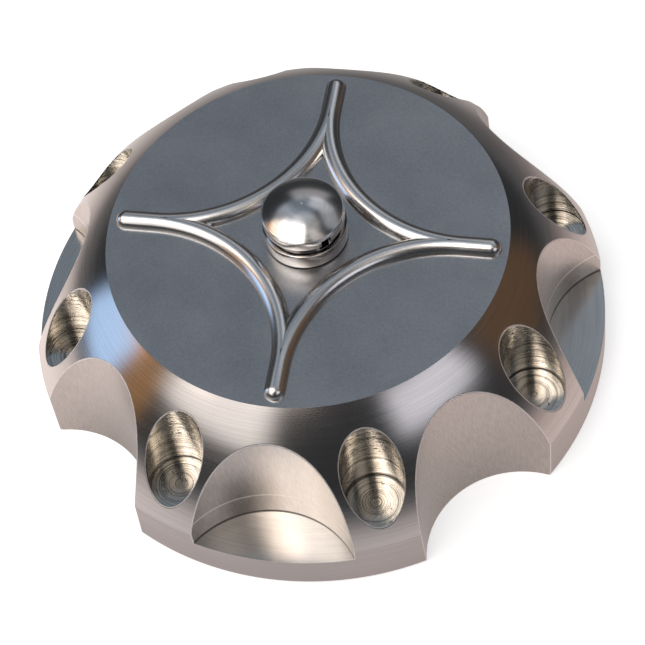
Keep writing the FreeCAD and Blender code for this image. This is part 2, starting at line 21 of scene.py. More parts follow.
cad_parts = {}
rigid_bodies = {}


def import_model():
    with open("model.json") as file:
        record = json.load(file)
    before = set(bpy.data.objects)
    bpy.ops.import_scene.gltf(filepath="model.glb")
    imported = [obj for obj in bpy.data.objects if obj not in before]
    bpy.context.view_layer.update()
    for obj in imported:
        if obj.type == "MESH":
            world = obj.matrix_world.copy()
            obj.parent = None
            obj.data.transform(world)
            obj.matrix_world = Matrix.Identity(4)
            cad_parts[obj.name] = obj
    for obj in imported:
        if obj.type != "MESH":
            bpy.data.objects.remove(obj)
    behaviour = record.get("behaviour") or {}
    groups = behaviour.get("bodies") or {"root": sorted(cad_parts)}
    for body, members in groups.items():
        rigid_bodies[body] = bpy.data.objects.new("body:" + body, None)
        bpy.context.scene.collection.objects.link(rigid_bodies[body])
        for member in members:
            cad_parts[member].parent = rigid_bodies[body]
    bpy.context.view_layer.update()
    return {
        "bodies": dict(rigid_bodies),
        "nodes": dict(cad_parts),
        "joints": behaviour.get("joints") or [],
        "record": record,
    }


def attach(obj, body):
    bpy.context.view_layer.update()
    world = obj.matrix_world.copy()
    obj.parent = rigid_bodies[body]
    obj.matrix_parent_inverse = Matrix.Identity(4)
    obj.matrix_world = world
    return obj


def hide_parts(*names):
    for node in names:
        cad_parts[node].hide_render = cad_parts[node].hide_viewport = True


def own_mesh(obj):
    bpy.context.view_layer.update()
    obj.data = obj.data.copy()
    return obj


LOG = logging.getLogger("fuel_cap")
MM = 0.001
Colour = tuple[float, float, float]
Point = tuple[float, float]
Profile = list[Point]
Steps = tuple[Point, ...]

WALL_COUNT = 4
HOLE_COUNT = 8
FIRST_SCALLOP = 45.0
FIRST_HOLE = 22.5


def azimuths(count: int, first: float = 0.0) -> list[float]:
    """Azimuths in degrees of evenly spaced features round the cap, from the first one on."""
    return [first + 360.0 / count * index for index in range(count)]


# Shader arithmetic

class Wire:
    """A shader socket that takes part in Python arithmetic."""

    def __init__(self, bench: "ShaderBench", socket: bpy.types.NodeSocket) -> None:
        """Keep the bench that adds nodes and the socket that holds the value."""
        self.bench = bench
        self.socket = socket

    def math(self, operation: str, *others: "Wire | float") -> "Wire":
        """Add a Math node that takes this value and others, and return its result."""
        values = dict(enumerate((self, *others)))
        return self.bench.add("ShaderNodeMath", {"operation": operation}, values).out(0)

    def __add__(self, other: "Wire | float") -> "Wire":
        """Sum."""
        return self.math("ADD", other)

    __radd__ = __add__

    def __sub__(self, other: "Wire | float") -> "Wire":
        """Difference."""
        return self.math("SUBTRACT", other)

    def __rsub__(self, other: float) -> "Wire":
        """Difference from a number."""
        return self.bench.add("ShaderNodeMath", {"operation": "SUBTRACT"}, {0: other, 1: self}).out(0)

    def __mul__(self, other: "Wire | float") -> "Wire":
        """Product."""
        return self.math("MULTIPLY", other)

    __rmul__ = __mul__

    def __truediv__(self, other: "Wire | float") -> "Wire":
        """Quotient."""
        return self.math("DIVIDE", other)

    def __neg__(self) -> "Wire":
        """Opposite."""
        return self.math("MULTIPLY", -1.0)


Marks = tuple[Wire, Wire, Wire]


class Placed:
    """A node that a bench has added, with its outputs at hand."""

    def __init__(self, bench: "ShaderBench", node: bpy.types.Node) -> None:
        """Keep the bench and the node."""
        self.bench = bench
        self.node = node

    def out(self, name: int | str) -> Wire:
        """Wire from one of the node's outputs."""
        return Wire(self.bench, self.node.outputs[name])


class ShaderBench:
    """Adds nodes to one node tree."""

    def __init__(self, tree: bpy.types.NodeTree) -> None:
        """Start from an emptied tree."""
        self.tree = tree
        tree.nodes.clear()

    def add(self, kind: str, settings: dict | None = None, values: dict | None = None) -> Placed:
        """Add a node, set it up and feed its inputs.

        Args:
            kind: Type name of the node.
            settings: Attributes that are set first; a ramp's stops go under "stops".
            values: Input names or numbers with values or wires.

        Returns:
            The node, ready to wire on.
        """
        node = self.tree.nodes.new(kind)
        for name, value in (settings or {}).items():
            if name == "stops":
                self.set_stops(node.color_ramp, value)
            else:
                setattr(node, name, value)
        for name, value in (values or {}).items():
            if isinstance(value, Wire):
                self.tree.links.new(value.socket, node.inputs[name])
            else:
                node.inputs[name].default_value = value
        return Placed(self, node)

    @staticmethod
    def set_stops(ramp: bpy.types.ColorRamp, stops: list[tuple[float, Colour]]) -> None:
        """Give a colour ramp its stops.

        Args:
            ramp: The ramp to fill.
            stops: Positions and colours in rising order.
        """
        while len(ramp.elements) < len(stops):
            ramp.elements.new(0.5)
        for element, (position, colour) in zip(ramp.elements, stops):
            element.position = position
            element.color = (*colour, 1.0)

    def smooth(self, value: Wire, low: float, high: float) -> Wire:
        """Smooth step from 0 at low to 1 at high."""
        inputs = {"Value": value, "From Min": low, "From Max": high}
        return self.add("ShaderNodeMapRange", {"interpolation_type": "SMOOTHSTEP"}, inputs).out(0)

    def band(self, value: Wire, centre: float, half: float, soft: float) -> Wire:
        """Mask that is 1 within half of centre and fades out over soft."""
        distance = (value - centre).math("ABSOLUTE")
        return 1.0 - self.smooth(distance, half, half + soft)

    def mix(self, factor: Wire | float, first: Wire | Colour, second: Wire | Colour) -> Wire:
        """Mix two colours by a factor.

        Args:
            factor: Share of the second colour.
            first: Colour at a factor of 0.
            second: Colour at a factor of 1.

        Returns:
            The mixed colour.
        """
        def prepared(colour: Wire | Colour) -> Wire | tuple:
            """Give a plain colour its alpha."""
            return colour if isinstance(colour, Wire) else (*colour, 1.0)
        node = self.add("ShaderNodeMix", {"data_type": "RGBA"}, {0: factor})
        for slot, colour in ((6, prepared(first)), (7, prepared(second))):
            if isinstance(colour, Wire):
                self.tree.links.new(colour.socket, node.node.inputs[slot])
            else:
                node.node.inputs[slot].default_value = colour
        return node.out(2)

    def lift(self, value: Wire, mask: Wire, goal: float) -> Wire:
        """Value that moves to a goal where a mask is 1."""
        return value * (1.0 - mask) + mask * goal

    def noise(self, vector: Wire, scale: float, detail: float = 3.0, rough: float = 0.55) -> Wire:
        """Grey noise about 0.5 at a scale in repeats per unit of the vector."""
        inputs = {"Vector": vector, "Scale": scale, "Detail": detail, "Roughness": rough}
        return self.add("ShaderNodeTexNoise", {"noise_dimensions": "3D"}, inputs).out(0)

    def noise_over(self, x: Wire, y: Wire, z: Wire | float, detail: float = 3.0, rough: float = 0.55) -> Wire:
        """Grey noise about 0.5 over three values, one repeat per unit."""
        vector = self.add("ShaderNodeCombineXYZ", None, {0: x, 1: y, 2: z}).out(0)
        return self.noise(vector, 1.0, detail, rough)

    def surface(self, inputs: dict) -> None:
        """End a material with a Principled shader."""
        shader = self.add("ShaderNodeBsdfPrincipled", None, inputs)
        self.add("ShaderNodeOutputMaterial", None, {"Surface": shader.out(0)})


def length(first: Wire, second: Wire) -> Wire:
    """Length of a vector from its two parts."""
    return (first * first + second * second).math("SQRT")


def new_material(name: str) -> tuple[bpy.types.Material, ShaderBench]:
    """Add an empty node material and a bench for its nodes.

    Args:
        name: Name of the material.

    Returns:
        The material and its bench.
    """
    material = bpy.data.materials.new(name)
    material.use_nodes = True
    return material, ShaderBench(material.node_tree)


@dataclass
class CapCoordinates:
    """Places on the cap that finishes are written in.

    Attributes:
        bench: Bench of the material.
    """

    bench: ShaderBench

    def __post_init__(self) -> None:
        """Read object coordinates once, in millimetres."""
        bench = self.bench
        place = bench.add("ShaderNodeTexCoord").out("Object")
        scaled = bench.add("ShaderNodeVectorMath", {"operation": "SCALE"}, {0: place, "Scale": 1.0 / MM})
        self.scaled = scaled.out(0)
        parts = bench.add("ShaderNodeSeparateXYZ", None, {0: self.scaled})
        self.x = parts.out(0)
        self.y = parts.out(1)
        self.z = parts.out(2)

    def radius(self) -> Wire:
        """Distance from the cap's axis in millimetres."""
        return length(self.x, self.y)

    def azimuth(self) -> Wire:
        """Angle round the cap's axis in radians, from +X."""
        return self.y.math("ARCTAN2", self.x)

    def from_nearest(self, count: int, first: float, distance: float) -> tuple[Wire, Wire]:
        """Offsets from the nearest of several evenly spaced upright axes.

        Args:
            count: Number of axes round the cap.
            first: Azimuth of one of them in radians.
            distance: Their distance from the cap's axis in millimetres.

        Returns:
            Offsets outwards and sideways in millimetres.
        """
        step = 2.0 * math.pi / count
        turns = ((self.azimuth() - first) / step).math("ROUND")
        folded = self.azimuth() - turns * step - first
        radius = self.radius()
        outwards = radius * folded.math("COSINE") - distance
        sideways = radius * folded.math("SINE")
        return outwards, sideways

    def from_leaning(self, first: float, distance: float, radius: float) -> Wire:
        """Distance outside the nearest of four leaning cutters.

        Args:
            first: Azimuth of one of the cutters in radians.
            distance: Their axes' distance from the cap's axis at the rim, in millimetres.
            radius: Their radius in millimetres.

        Returns:
            The distance in millimetres, negative inside a cutter.
        """
        lean = math.radians(BilletBody.wall_lean)
        outwards, sideways = self.from_nearest(WALL_COUNT, first, distance)
        along = self.z * math.cos(lean) - outwards * math.sin(lean)
        square = outwards * outwards + sideways * sideways + self.z * self.z - along * along
        return square.math("SQRT") - radius

    def from_cuts(self) -> Wire:
        """Distance in millimetres of a place on the flank from the nearest cut's edge.

        Returns:
            The distance in millimetres, negative inside a cut.
        """
        body = BilletBody
        outwards, sideways = self.from_nearest(HOLE_COUNT, math.radians(FIRST_HOLE), body.drill_pitch_radius)
        drill = length(outwards, sideways) - body.drill_radius
        wall = self.from_leaning(0.0, body.pocket_distance, body.pocket_radius)
        pocket = wall.math("MAXIMUM", body.pocket_floor - self.z)
        first = math.radians(FIRST_SCALLOP)
        scallop = self.from_leaning(first, body.scallop_distance, body.scallop_radius)
        return drill.math("MINIMUM", pocket).math("MINIMUM", scallop)

    def below_flank(self) -> Wire:
        """Depth in millimetres of a place on a wall below the turned outside.

        Returns:
            The depth in millimetres.
        """
        centre_radius, centre_height = BilletBody().flank_centre()
        across = self.radius() - centre_radius
        upwards = self.z - centre_height
        flank = BilletBody.flank_radius - length(across, upwards)
        skirt = BilletBody.outer_radius - self.radius()
        above = self.z.math("GREATER_THAN", BilletBody.skirt_height)
        return flank * above + skirt * (1.0 - above)


# Finishes

# Painted highlight along the edges beside the cuts.
PAINTED_EDGE_HIGHLIGHT = (0.93, 0.91, 0.88)
CHIP_SHADOW = (0.03, 0.028, 0.025)
# Painted highlight of the pocket's ledge and painted shade of its corner above the floor.
LEDGE_HIGHLIGHT = (0.95, 0.93, 0.90)
CORNER_SHADE = (0.05, 0.045, 0.04)
PIT_TONE = (0.06, 0.052, 0.045)
TORN_SHADOW = (0.03, 0.027, 0.024)
TORN_METAL = (0.80, 0.78, 0.74)
BLACK = (0.012, 0.012, 0.013)
WORN_BLACK = (0.030, 0.030, 0.031)
EDGE_WIDTHS = (0.03, 0.13)
EDGE_DEPTH = 0.05
RING_DEPTH = 0.035
TORN_DEPTH = 0.06
TORN_HEIGHTS = (15.5, 18.5)
PITTED_HEIGHTS = (14.0, 19.0)
LINE_HALVES = (0.09, 0.16)


@dataclass(frozen=True)
class Metal:
    """Bare metal with fine tool marks.

    Attributes:
        name: Name of the material.
        colour: Reflected colour.
        roughness: Roughness of the clean surface.
        anisotropy: Spread of highlights across marks that run round the cap's axis, 0 to 1.
        grain: Strength of a plain surface's grain, 1 for a blasted one.
    """

    name: str
    colour: Colour
    roughness: float
    anisotropy: float = 0.0
    grain: float = 1.0

    def build(self) -> bpy.types.Material:
        """Make the material.

        Returns:
            The finished material.
        """
        material, bench = new_material(self.name)
        cap = CapCoordinates(bench)
        colour, roughness, bump = self.marks(bench, cap)
        inputs = {"Base Color": colour, "Roughness": roughness, "Metallic": 1.0, "Normal": bump}
        if self.anisotropy:
            inputs["Anisotropic"] = self.anisotropy
            inputs["Anisotropic Rotation"] = 0.25
            inputs["Tangent"] = bench.add(
                "ShaderNodeTangent", {"direction_type": "RADIAL", "axis": "Z"}).out(0)
        bench.surface(inputs)
        return material

    def marks(self, bench: ShaderBench, cap: CapCoordinates) -> Marks:
        """Colour, roughness and bump of a plain satin surface.

        Args:
            bench: Bench of the material.
            cap: Places on the cap.

        Returns:
            Wires for base colour, roughness and normal.
        """
        grain = bench.noise(cap.scaled, scale=4.5, detail=4.0, rough=0.75)
        cloud = bench.noise(cap.scaled, scale=0.12, detail=2.0)
        colour = self.toned(bench, grain * 0.75 + cloud * 0.25, 0.38, 0.62, 1.0 - 0.20 * self.grain)
        roughness = self.roughness + (grain - 0.5) * 0.10 * self.grain + (cloud - 0.5) * 0.05
        return colour, roughness, self.relief(bench, grain, 0.004 * self.grain)

    def toned(self, bench: ShaderBench, tone: Wire, low: float, high: float, darkest: float) -> Wire:
        """Colour that rises from a darker share of the metal's own as a tone goes from low to high."""
        dark = tuple(part * darkest for part in self.colour)
        return bench.mix(bench.smooth(tone, low, high), dark, self.colour)

    @staticmethod
    def worn_edge_with_painted_light(bench: ShaderBench, cap: CapCoordinates, distance: Wire, colour: Wire, roughness: Wire,
                  nicks: float) -> Marks:
        """Broken edge beside a cut, with a painted highlight along it and painted shadow in its chips.

        Args:
            bench: Bench of the material.
            cap: Places on the cap.
            distance: Distance from the edge in millimetres.
            colour: Colour away from the edge.
            roughness: Roughness away from the edge.
            nicks: How ragged the edge is in millimetres.

        Returns:
            Wires for the colour, the roughness and the height lost in millimetres.
        """
        ragged = bench.noise(cap.scaled, scale=2.6, detail=3.0, rough=0.7) - 0.5
        edge = 1.0 - bench.smooth(distance + ragged * nicks, *EDGE_WIDTHS)
        spots = bench.noise(cap.scaled, scale=1.9, detail=2.0, rough=0.6)
        chips = bench.smooth(spots, 0.60, 0.66) * edge * min(nicks * 4.0, 1.0)
        # Painted highlight along the edge and painted shadow in its chips; the bump and roughness are the
        # real broken edge.
        colour = bench.mix(edge * 0.85, colour, PAINTED_EDGE_HIGHLIGHT)
        colour = bench.mix(chips * 0.9, colour, CHIP_SHADOW)
        return colour, bench.lift(roughness, edge, 0.42), (edge + chips) * EDGE_DEPTH

    @staticmethod
    def relief(bench: ShaderBench, height: Wire, depth_mm: float) -> Wire:
        """Bump from a height that goes from 0 to 1 over a depth in millimetres."""
        inputs = {"Strength": 1.0, "Distance": depth_mm * MM, "Height": height}
        return bench.add("ShaderNodeBump", None, inputs).out(0)


@dataclass(frozen=True)
class TurnedMetal(Metal):
    """Metal turned on a lathe: fine grooves round the axis.

    Attributes:
        pitch: Spacing of the grooves in millimetres.
        depth: Depth of the grooves in millimetres.
        flat: Whether the surface is flat, so that the grooves follow the radius.
        nicks: Raggedness of the edges beside the cuts in millimetres, which carry a painted highlight, or
            None for no such edges.
    """

    pitch: float = 0.12
    depth: float = 0.002
    flat: bool = False
    nicks: float | None = None

    def marks(self, bench: ShaderBench, cap: CapCoordinates) -> Marks:
        """Grooves along the profile, nearly constant round the axis.

        Args:
            bench: Bench of the material.
            cap: Places on the cap.

        Returns:
            Wires for base colour, roughness and normal.
        """
        radius = cap.radius()
        along = radius if self.flat else radius * 0.7 - cap.z * 0.7
        round_way = cap.azimuth().math("SINE") * 0.35 + cap.azimuth().math("COSINE") * 0.2
        fine = bench.noise_over(along / self.pitch, round_way * 6.0, 0.0, detail=2.0, rough=0.8)
        wide = bench.noise_over(along * 1.1, round_way * 3.0, 7.0)
        cloud = bench.noise(cap.scaled, scale=0.2, detail=3.0)
        colour = self.toned(bench, fine * 0.8 + wide * 0.06 + cloud * 0.14, 0.36, 0.62, darkest=0.86)
        roughness = self.roughness + (fine - 0.5) * 0.06
        if self.nicks is None:
            return colour, roughness, self.relief(bench, fine, self.depth)
        # Edges beside the cuts get a painted highlight and painted shadow in their chips.
        colour, roughness, loss = self.worn_edge_with_painted_light(bench, cap, cap.from_cuts(), colour, roughness, self.nicks)
        return colour, roughness, self.relief(bench, fine * self.depth - loss, 1.0)


@dataclass(frozen=True)
class MilledWall(Metal):
    """Milled wall with fine brushing up the wall.

    Attributes:
        slant: How far the brushing drifts sideways for each unit of height.
        depth: Depth of the marks in millimetres.
        lines: Heights of a painted highlight along the ledge and of painted shade in the corner, or none.
        first: Azimuth of one of the four cutters in radians.
        radius: Radius that turns an angle on the wall into a length, in millimetres.
    """

    slant: float = 0.13
    depth: float = 0.0016
    lines: tuple[float, ...] = ()
    first: float = 0.0
    radius: float = 13.4

    def marks(self, bench: ShaderBench, cap: CapCoordinates) -> Marks:
        """Streaks that run up the wall and drift a little sideways.

        Args:
            bench: Bench of the material.
            cap: Places on the cap.

        Returns:
            Wires for base colour, roughness and normal.
        """
        outwards, sideways = cap.from_nearest(WALL_COUNT, self.first, BilletBody.pocket_distance)
        turn = sideways.math("ARCTAN2", -outwards)
        across = turn * self.radius + cap.z * self.slant
        fine = bench.noise_over(across * 5.0, cap.z * 0.5, 0.0, rough=0.8)
        wide = bench.noise_over(across * 0.6, cap.z * 0.3, 3.0)
        colour = self.toned(bench, fine * 0.9 + wide * 0.1, 0.42, 0.58, darkest=0.86)
        roughness = self.roughness + (fine - 0.5) * 0.16 + (wide - 0.5) * 0.04
        # The ledge line is a painted highlight and the corner line is painted shade, both also rougher.
        for height, half, tone in zip(self.lines, LINE_HALVES, (LEDGE_HIGHLIGHT, CORNER_SHADE)):
            line = bench.band(cap.z, height, half, soft=0.08)
            colour = bench.mix(line * 0.8, colour, tone)
            roughness = bench.lift(roughness, line, 0.5)
        # The wall's top edge gets a painted highlight and painted shadow in its chips.
        colour, roughness, loss = self.worn_edge_with_painted_light(bench, cap, cap.below_flank(), colour, roughness, 0.02)
        return colour, roughness, self.relief(bench, fine * self.depth - loss, 1.0)


@dataclass(frozen=True)
class DrilledMetal(Metal):
    """Wall or floor of a drilled hole, with rings that the drill left.

    Attributes:
        floor: Whether this is the floor, where the rings are round the hole's centre.
    """

    floor: bool = False

    def marks(self, bench: ShaderBench, cap: CapCoordinates) -> Marks:
        """Rings down the wall or round the floor, with a few chatter marks.

        Args:
            bench: Bench of the material.
            cap: Places on the cap.

        Returns:
            Wires for base colour, roughness and normal.
        """
        outwards, sideways = cap.from_nearest(
            HOLE_COUNT, math.radians(FIRST_HOLE), BilletBody.drill_pitch_radius)
        distance = length(outwards, sideways)
        which = (cap.azimuth() * (HOLE_COUNT / (2.0 * math.pi))).math("FLOOR") * 7.3
        turn = sideways.math("ARCTAN2", outwards)
        sine = turn.math("SINE")
        cosine = turn.math("COSINE")
        wobble = bench.noise_over(sine * 0.22, cosine * 0.22, which, detail=2.0) * 0.25
        along = (distance if self.floor else cap.z) + wobble
        coarse = bench.noise_over(along * 1.3, which, cosine * 0.12, detail=2.0, rough=0.6)
        fine = bench.noise_over(along * 4.6, which, sine * 0.25, rough=0.75)
        chatter = bench.noise_over(cap.x * 1.1, cap.y * 1.1, cap.z * 3.4, detail=4.0, rough=0.75)
        tops = bench.smooth(cap.z, *PITTED_HEIGHTS)
        pits = bench.smooth(chatter + tops * 0.09, 0.64, 0.68)
        colour = self.toned(bench, coarse * 0.35 + fine * 0.65, 0.40, 0.54, darkest=0.36)
        colour = bench.mix(pits * 0.8, colour, PIT_TONE)
        roughness = self.roughness + (fine - 0.5) * 0.2 + pits * 0.3
        height = (coarse * 0.5 + fine * 0.35 - pits * 0.8) * RING_DEPTH
        below = cap.below_flank()
        # The hole's mouth gets a painted highlight and painted shadow in its chips.
        colour, roughness, loss = self.worn_edge_with_painted_light(bench, cap, below, colour, roughness, 0.10)
        ragged = bench.noise(cap.scaled, scale=1.7, detail=3.0, rough=0.7) - 0.5
        lower = 1.0 - bench.smooth(cap.z, *TORN_HEIGHTS)
        torn = (1.0 - bench.smooth(below + ragged * 0.9, 0.10, 0.26)) * lower
        bright = bench.smooth(bench.noise(cap.scaled, scale=2.3, detail=2.0, rough=0.6), 0.54, 0.58)
        colour = bench.mix(torn * 0.95, colour, bench.mix(bright, TORN_SHADOW, TORN_METAL))
        roughness = bench.lift(roughness, torn, 0.45)
        return colour, roughness, self.relief(bench, height - loss - torn * TORN_DEPTH, 1.0)


@dataclass(frozen=True)
class Rubber:
    """Black fuel-proof rubber.

    Attributes:
        name: Name of the material.
    """

    name: str

    def build(self) -> bpy.types.Material:
        """Make the material.

        Returns:
            The finished material.
        """
        material, bench = new_material(self.name)
        cap = CapCoordinates(bench)
        grain = bench.noise(cap.scaled, scale=6.0, detail=4.0, rough=0.6)
        bloom = bench.noise(cap.scaled, scale=0.3, detail=3.0)
        colour = bench.mix(bench.smooth(bloom, 0.4, 0.7), BLACK, WORN_BLACK)
        inputs = {
            "Base Color": colour, "Roughness": 0.55 + (grain - 0.5) * 0.2,
            "Normal": Metal.relief(bench, grain, 0.02),
        }
        bench.surface(inputs)
        return material


class Region(Enum):
    """Surfaces of the billet that have a finish of their own."""

    TOP = 0
    FLANK = 1
    SKIRT = 2
    SCALLOP = 3
    POCKET = 4
    POCKET_FLOOR = 5
    DRILL = 6
    DRILL_FLOOR = 7
    INSIDE = 8


REGION_FINISHES: dict[Region, Metal] = {
    Region.TOP: Metal("satin_top", (0.50, 0.50, 0.505), roughness=0.30),
    Region.FLANK: TurnedMetal(
        "turned_flank", (0.62, 0.585, 0.56), roughness=0.19, anisotropy=0.5,
        pitch=0.16, depth=0.0003, nicks=0.06),
    Region.SKIRT: TurnedMetal(
        "turned_skirt", (0.54, 0.49, 0.47), roughness=0.34, anisotropy=0.4,
        pitch=0.10, depth=0.0008, nicks=0.02),
    Region.SCALLOP: MilledWall(
        "milled_scallop", (0.58, 0.53, 0.50), roughness=0.30, first=math.radians(FIRST_SCALLOP)),
    Region.POCKET: MilledWall(
        "milled_pocket", (0.62, 0.575, 0.545), roughness=0.33, lines=(10.05, 6.0)),
    Region.POCKET_FLOOR: TurnedMetal(
        "pocket_floor", (0.74, 0.71, 0.67), roughness=0.21, pitch=0.2, depth=0.0005, flat=True),
    Region.DRILL: DrilledMetal("drilled_wall", (0.72, 0.68, 0.615), roughness=0.17),
    Region.DRILL_FLOOR: DrilledMetal("drilled_floor", (0.75, 0.71, 0.65), roughness=0.17, floor=True),
    Region.INSIDE: TurnedMetal(
        "turned_inside", (0.60, 0.58, 0.57), roughness=0.30, anisotropy=0.5, pitch=0.15, depth=0.003),
}
POLISHED_RIB = Metal("polished_rib", (0.76, 0.74, 0.72), roughness=0.24, grain=0.25)
POLISHED_BUTTON = TurnedMetal(
    "polished_button", (0.74, 0.72, 0.70), roughness=0.18, anisotropy=0.55, depth=0.0006, flat=True)
POLISHED_COLLAR = TurnedMetal(
    "polished_collar", (0.68, 0.65, 0.63), roughness=0.18, anisotropy=0.3, depth=0.0006, flat=True)
PORT_SHADOW = Metal("port_shadow", (0.05, 0.05, 0.05), roughness=0.5)
THREAD_METAL = Metal("thread_metal", (0.60, 0.58, 0.57), roughness=0.28)
STEEL = Metal("bright_steel", (0.56, 0.56, 0.57), roughness=0.28)
SPRING_WIRE = Metal("spring_wire", (0.60, 0.59, 0.58), roughness=0.22)
PLATE_METAL = TurnedMetal(
    "turned_plate", (0.62, 0.62, 0.63), roughness=0.28, anisotropy=0.5, pitch=0.18, flat=True)
PRESSED_METAL = Metal("pressed_cup", (0.58, 0.59, 0.60), roughness=0.34)
BRASS = TurnedMetal("turned_brass", (0.72, 0.52, 0.24), roughness=0.24, anisotropy=0.4, pitch=0.15, flat=True)
BLACK_RUBBER = Rubber("black_rubber")


# Modelling by hand

class Bench:
    """Modelling steps that every piece uses."""

    WELD = 0.0005 * MM

    @staticmethod
    def clear_selection() -> None:
        """Leave edit mode and deselect everything."""
        if bpy.context.object and bpy.context.object.mode != "OBJECT":
            bpy.ops.object.mode_set(mode="OBJECT")
        bpy.ops.object.select_all(action="DESELECT")

    @classmethod
    def pick(cls, piece: bpy.types.Object) -> None:
        """Make one object the selected and active one.

        Args:
            piece: The object.
        """
        cls.clear_selection()
        piece.select_set(True)
        bpy.context.view_layer.objects.active = piece

    @classmethod
    def named(cls, name: str) -> bpy.types.Object:
        """Name the object that was just added and its mesh.

        Args:
            name: Its new name.

        Returns:
            The object.
        """
        piece = bpy.context.object
        piece.name = name
        piece.data.name = name
        return piece

    @classmethod
    def apply_place(cls, piece: bpy.types.Object) -> None:
        """Move an object's place, turn and scale into its mesh."""
        cls.pick(piece)
        bpy.ops.object.transform_apply(location=True, rotation=True, scale=True)

    @classmethod
    @contextmanager
    def editing(cls, piece: bpy.types.Object) -> Iterator[None]:
        """Edit mode with the whole mesh selected, for the length of a with block.

        Args:
            piece: The object whose mesh is edited.

        Returns:
            A context that ends in object mode.
        """
        cls.pick(piece)
        bpy.ops.object.mode_set(mode="EDIT")
        bpy.ops.mesh.select_all(action="SELECT")
        yield
        bpy.ops.object.mode_set(mode="OBJECT")

    @classmethod
    def lathe(cls, name: str, profile: Profile, steps: int) -> bpy.types.Object:
        """Draw a closed profile point by point and spin it round the upright axis.

        Args:
            name: Name of the piece.
            profile: Radii and heights in millimetres, in order.
            steps: Number of steps in a full turn.

        Returns:
            The spun piece.
        """
        cls.clear_selection()
        start = Vector((profile[0][0] * MM, 0.0, profile[0][1] * MM))
        bpy.ops.mesh.primitive_plane_add(size=MM, location=start)
        piece = cls.named(name)
        cls.apply_place(piece)
        bpy.ops.object.mode_set(mode="EDIT")
        bpy.ops.mesh.select_mode(type="VERT")
        bpy.ops.mesh.select_all(action="SELECT")
        bpy.ops.mesh.merge(type="CENTER")
        for before, after in zip(profile, profile[1:]):
            move = ((after[0] - before[0]) * MM, 0.0, (after[1] - before[1]) * MM)
            bpy.ops.mesh.extrude_region_move(TRANSFORM_OT_translate={"value": move})
        bpy.ops.object.mode_set(mode="OBJECT")
        last = len(profile) - 1
        for index, vertex in enumerate(piece.data.vertices):
            vertex.select = index in (0, last)
        bpy.ops.object.mode_set(mode="EDIT")
        bpy.ops.mesh.edge_face_add()
        bpy.ops.mesh.select_all(action="SELECT")
        bpy.ops.mesh.spin(steps=steps, angle=2.0 * math.pi, center=(0.0, 0.0, 0.0), axis=(0.0, 0.0, 1.0))
        bpy.ops.mesh.select_all(action="SELECT")
        bpy.ops.mesh.remove_doubles(threshold=cls.WELD)
        bpy.ops.mesh.normals_make_consistent(inside=False)
        bpy.ops.object.mode_set(mode="OBJECT")
        return piece

    @classmethod
    def rod(cls, name: str, radius: float, low: float, high: float, sides: int,
            place: tuple[float, float] = (0.0, 0.0)) -> bpy.types.Object:
        """Add an upright cylinder between two heights, in millimetres.

        Args:
            name: Name of the piece.
            radius: Radius in millimetres.
            low: Height of its lower end in millimetres.
            high: Height of its upper end in millimetres.
            sides: Number of sides.
            place: X and Y of its axis in millimetres.

        Returns:
            The cylinder.
        """
        cls.clear_selection()
        bpy.ops.mesh.primitive_cylinder_add(
            vertices=sides, radius=radius * MM, depth=(high - low) * MM,
            location=(place[0] * MM, place[1] * MM, (low + high) / 2 * MM))
        piece = cls.named(name)
        cls.apply_place(piece)
        return piece

    @classmethod
    def trim(cls, piece: bpy.types.Object, point: Vector, direction: Vector, fill: bool = True) -> None:
        """Cut away what lies ahead of a plane, and close the cut with a face if asked."""
        with cls.editing(piece):
            bpy.ops.mesh.bisect(plane_co=point, plane_no=direction, use_fill=fill, clear_outer=True)

    @staticmethod
    def spin_copies(piece: bpy.types.Object, places: Iterable[float]) -> list[bpy.types.Object]:
        """Copy a piece to several azimuths in degrees, each with its own mesh.

        Args:
            piece: Piece on the +X side; it is deleted in the end.
            places: Azimuths of the copies in degrees.

        Returns:
            The copies.
        """
        copies = []
        for azimuth in places:
            twin = piece.copy()
            twin.data = piece.data.copy()
            bpy.context.collection.objects.link(twin)
            twin.data.transform(Matrix.Rotation(math.radians(azimuth), 4, "Z"))
            copies.append(twin)
        bpy.data.objects.remove(piece)
        return copies

    @classmethod
    def join(cls, name: str, pieces: list[bpy.types.Object]) -> bpy.types.Object:
        """Join several objects into one.

        Args:
            name: Name of the joined piece.
            pieces: The objects to join.

        Returns:
            The joined piece.
        """
        cls.clear_selection()
        for piece in pieces:
            piece.select_set(True)
        bpy.context.view_layer.objects.active = pieces[0]
        bpy.ops.object.join()
        return cls.named(name)

    @classmethod
    def carve(cls, piece: bpy.types.Object, cutter: bpy.types.Object) -> None:
        """Cut one mesh out of another and delete the cutter.

        Args:
            piece: Piece that loses material.
            cutter: Piece that cuts.
        """
        cls.pick(piece)
        change = piece.modifiers.new("carve", "BOOLEAN")
        change.operation = "DIFFERENCE"
        change.solver = "EXACT"
        change.material_mode = "TRANSFER"
        change.object = cutter
        bpy.ops.object.modifier_apply(modifier=change.name)
        bpy.data.objects.remove(cutter)

    @classmethod
    def soften(cls, piece: bpy.types.Object, degrees: float) -> None:
        """Shade smooth, with edges sharper than an angle kept sharp."""
        cls.pick(piece)
        bpy.ops.object.shade_smooth_by_angle(angle=math.radians(degrees))

    @staticmethod
    def dress(piece: bpy.types.Object, materials: list[bpy.types.Material],
              rule: Callable[[bpy.types.MeshPolygon], int] | None = None) -> None:
        """Give a piece its materials.

        Args:
            piece: Piece to dress.
            materials: Its material slots in order.
            rule: Slot number for a face, or None where the first fits all.
        """
        piece.data.materials.clear()
        for material in materials:
            piece.data.materials.append(material)
        if rule is not None:
            for face in piece.data.polygons:
                face.material_index = rule(face)


def stepped(corner: Point, steps: Steps) -> Profile:
    """Points of a profile that are given as steps out and up from a corner."""
    return [(corner[0] + out, corner[1] + up) for out, up in steps]


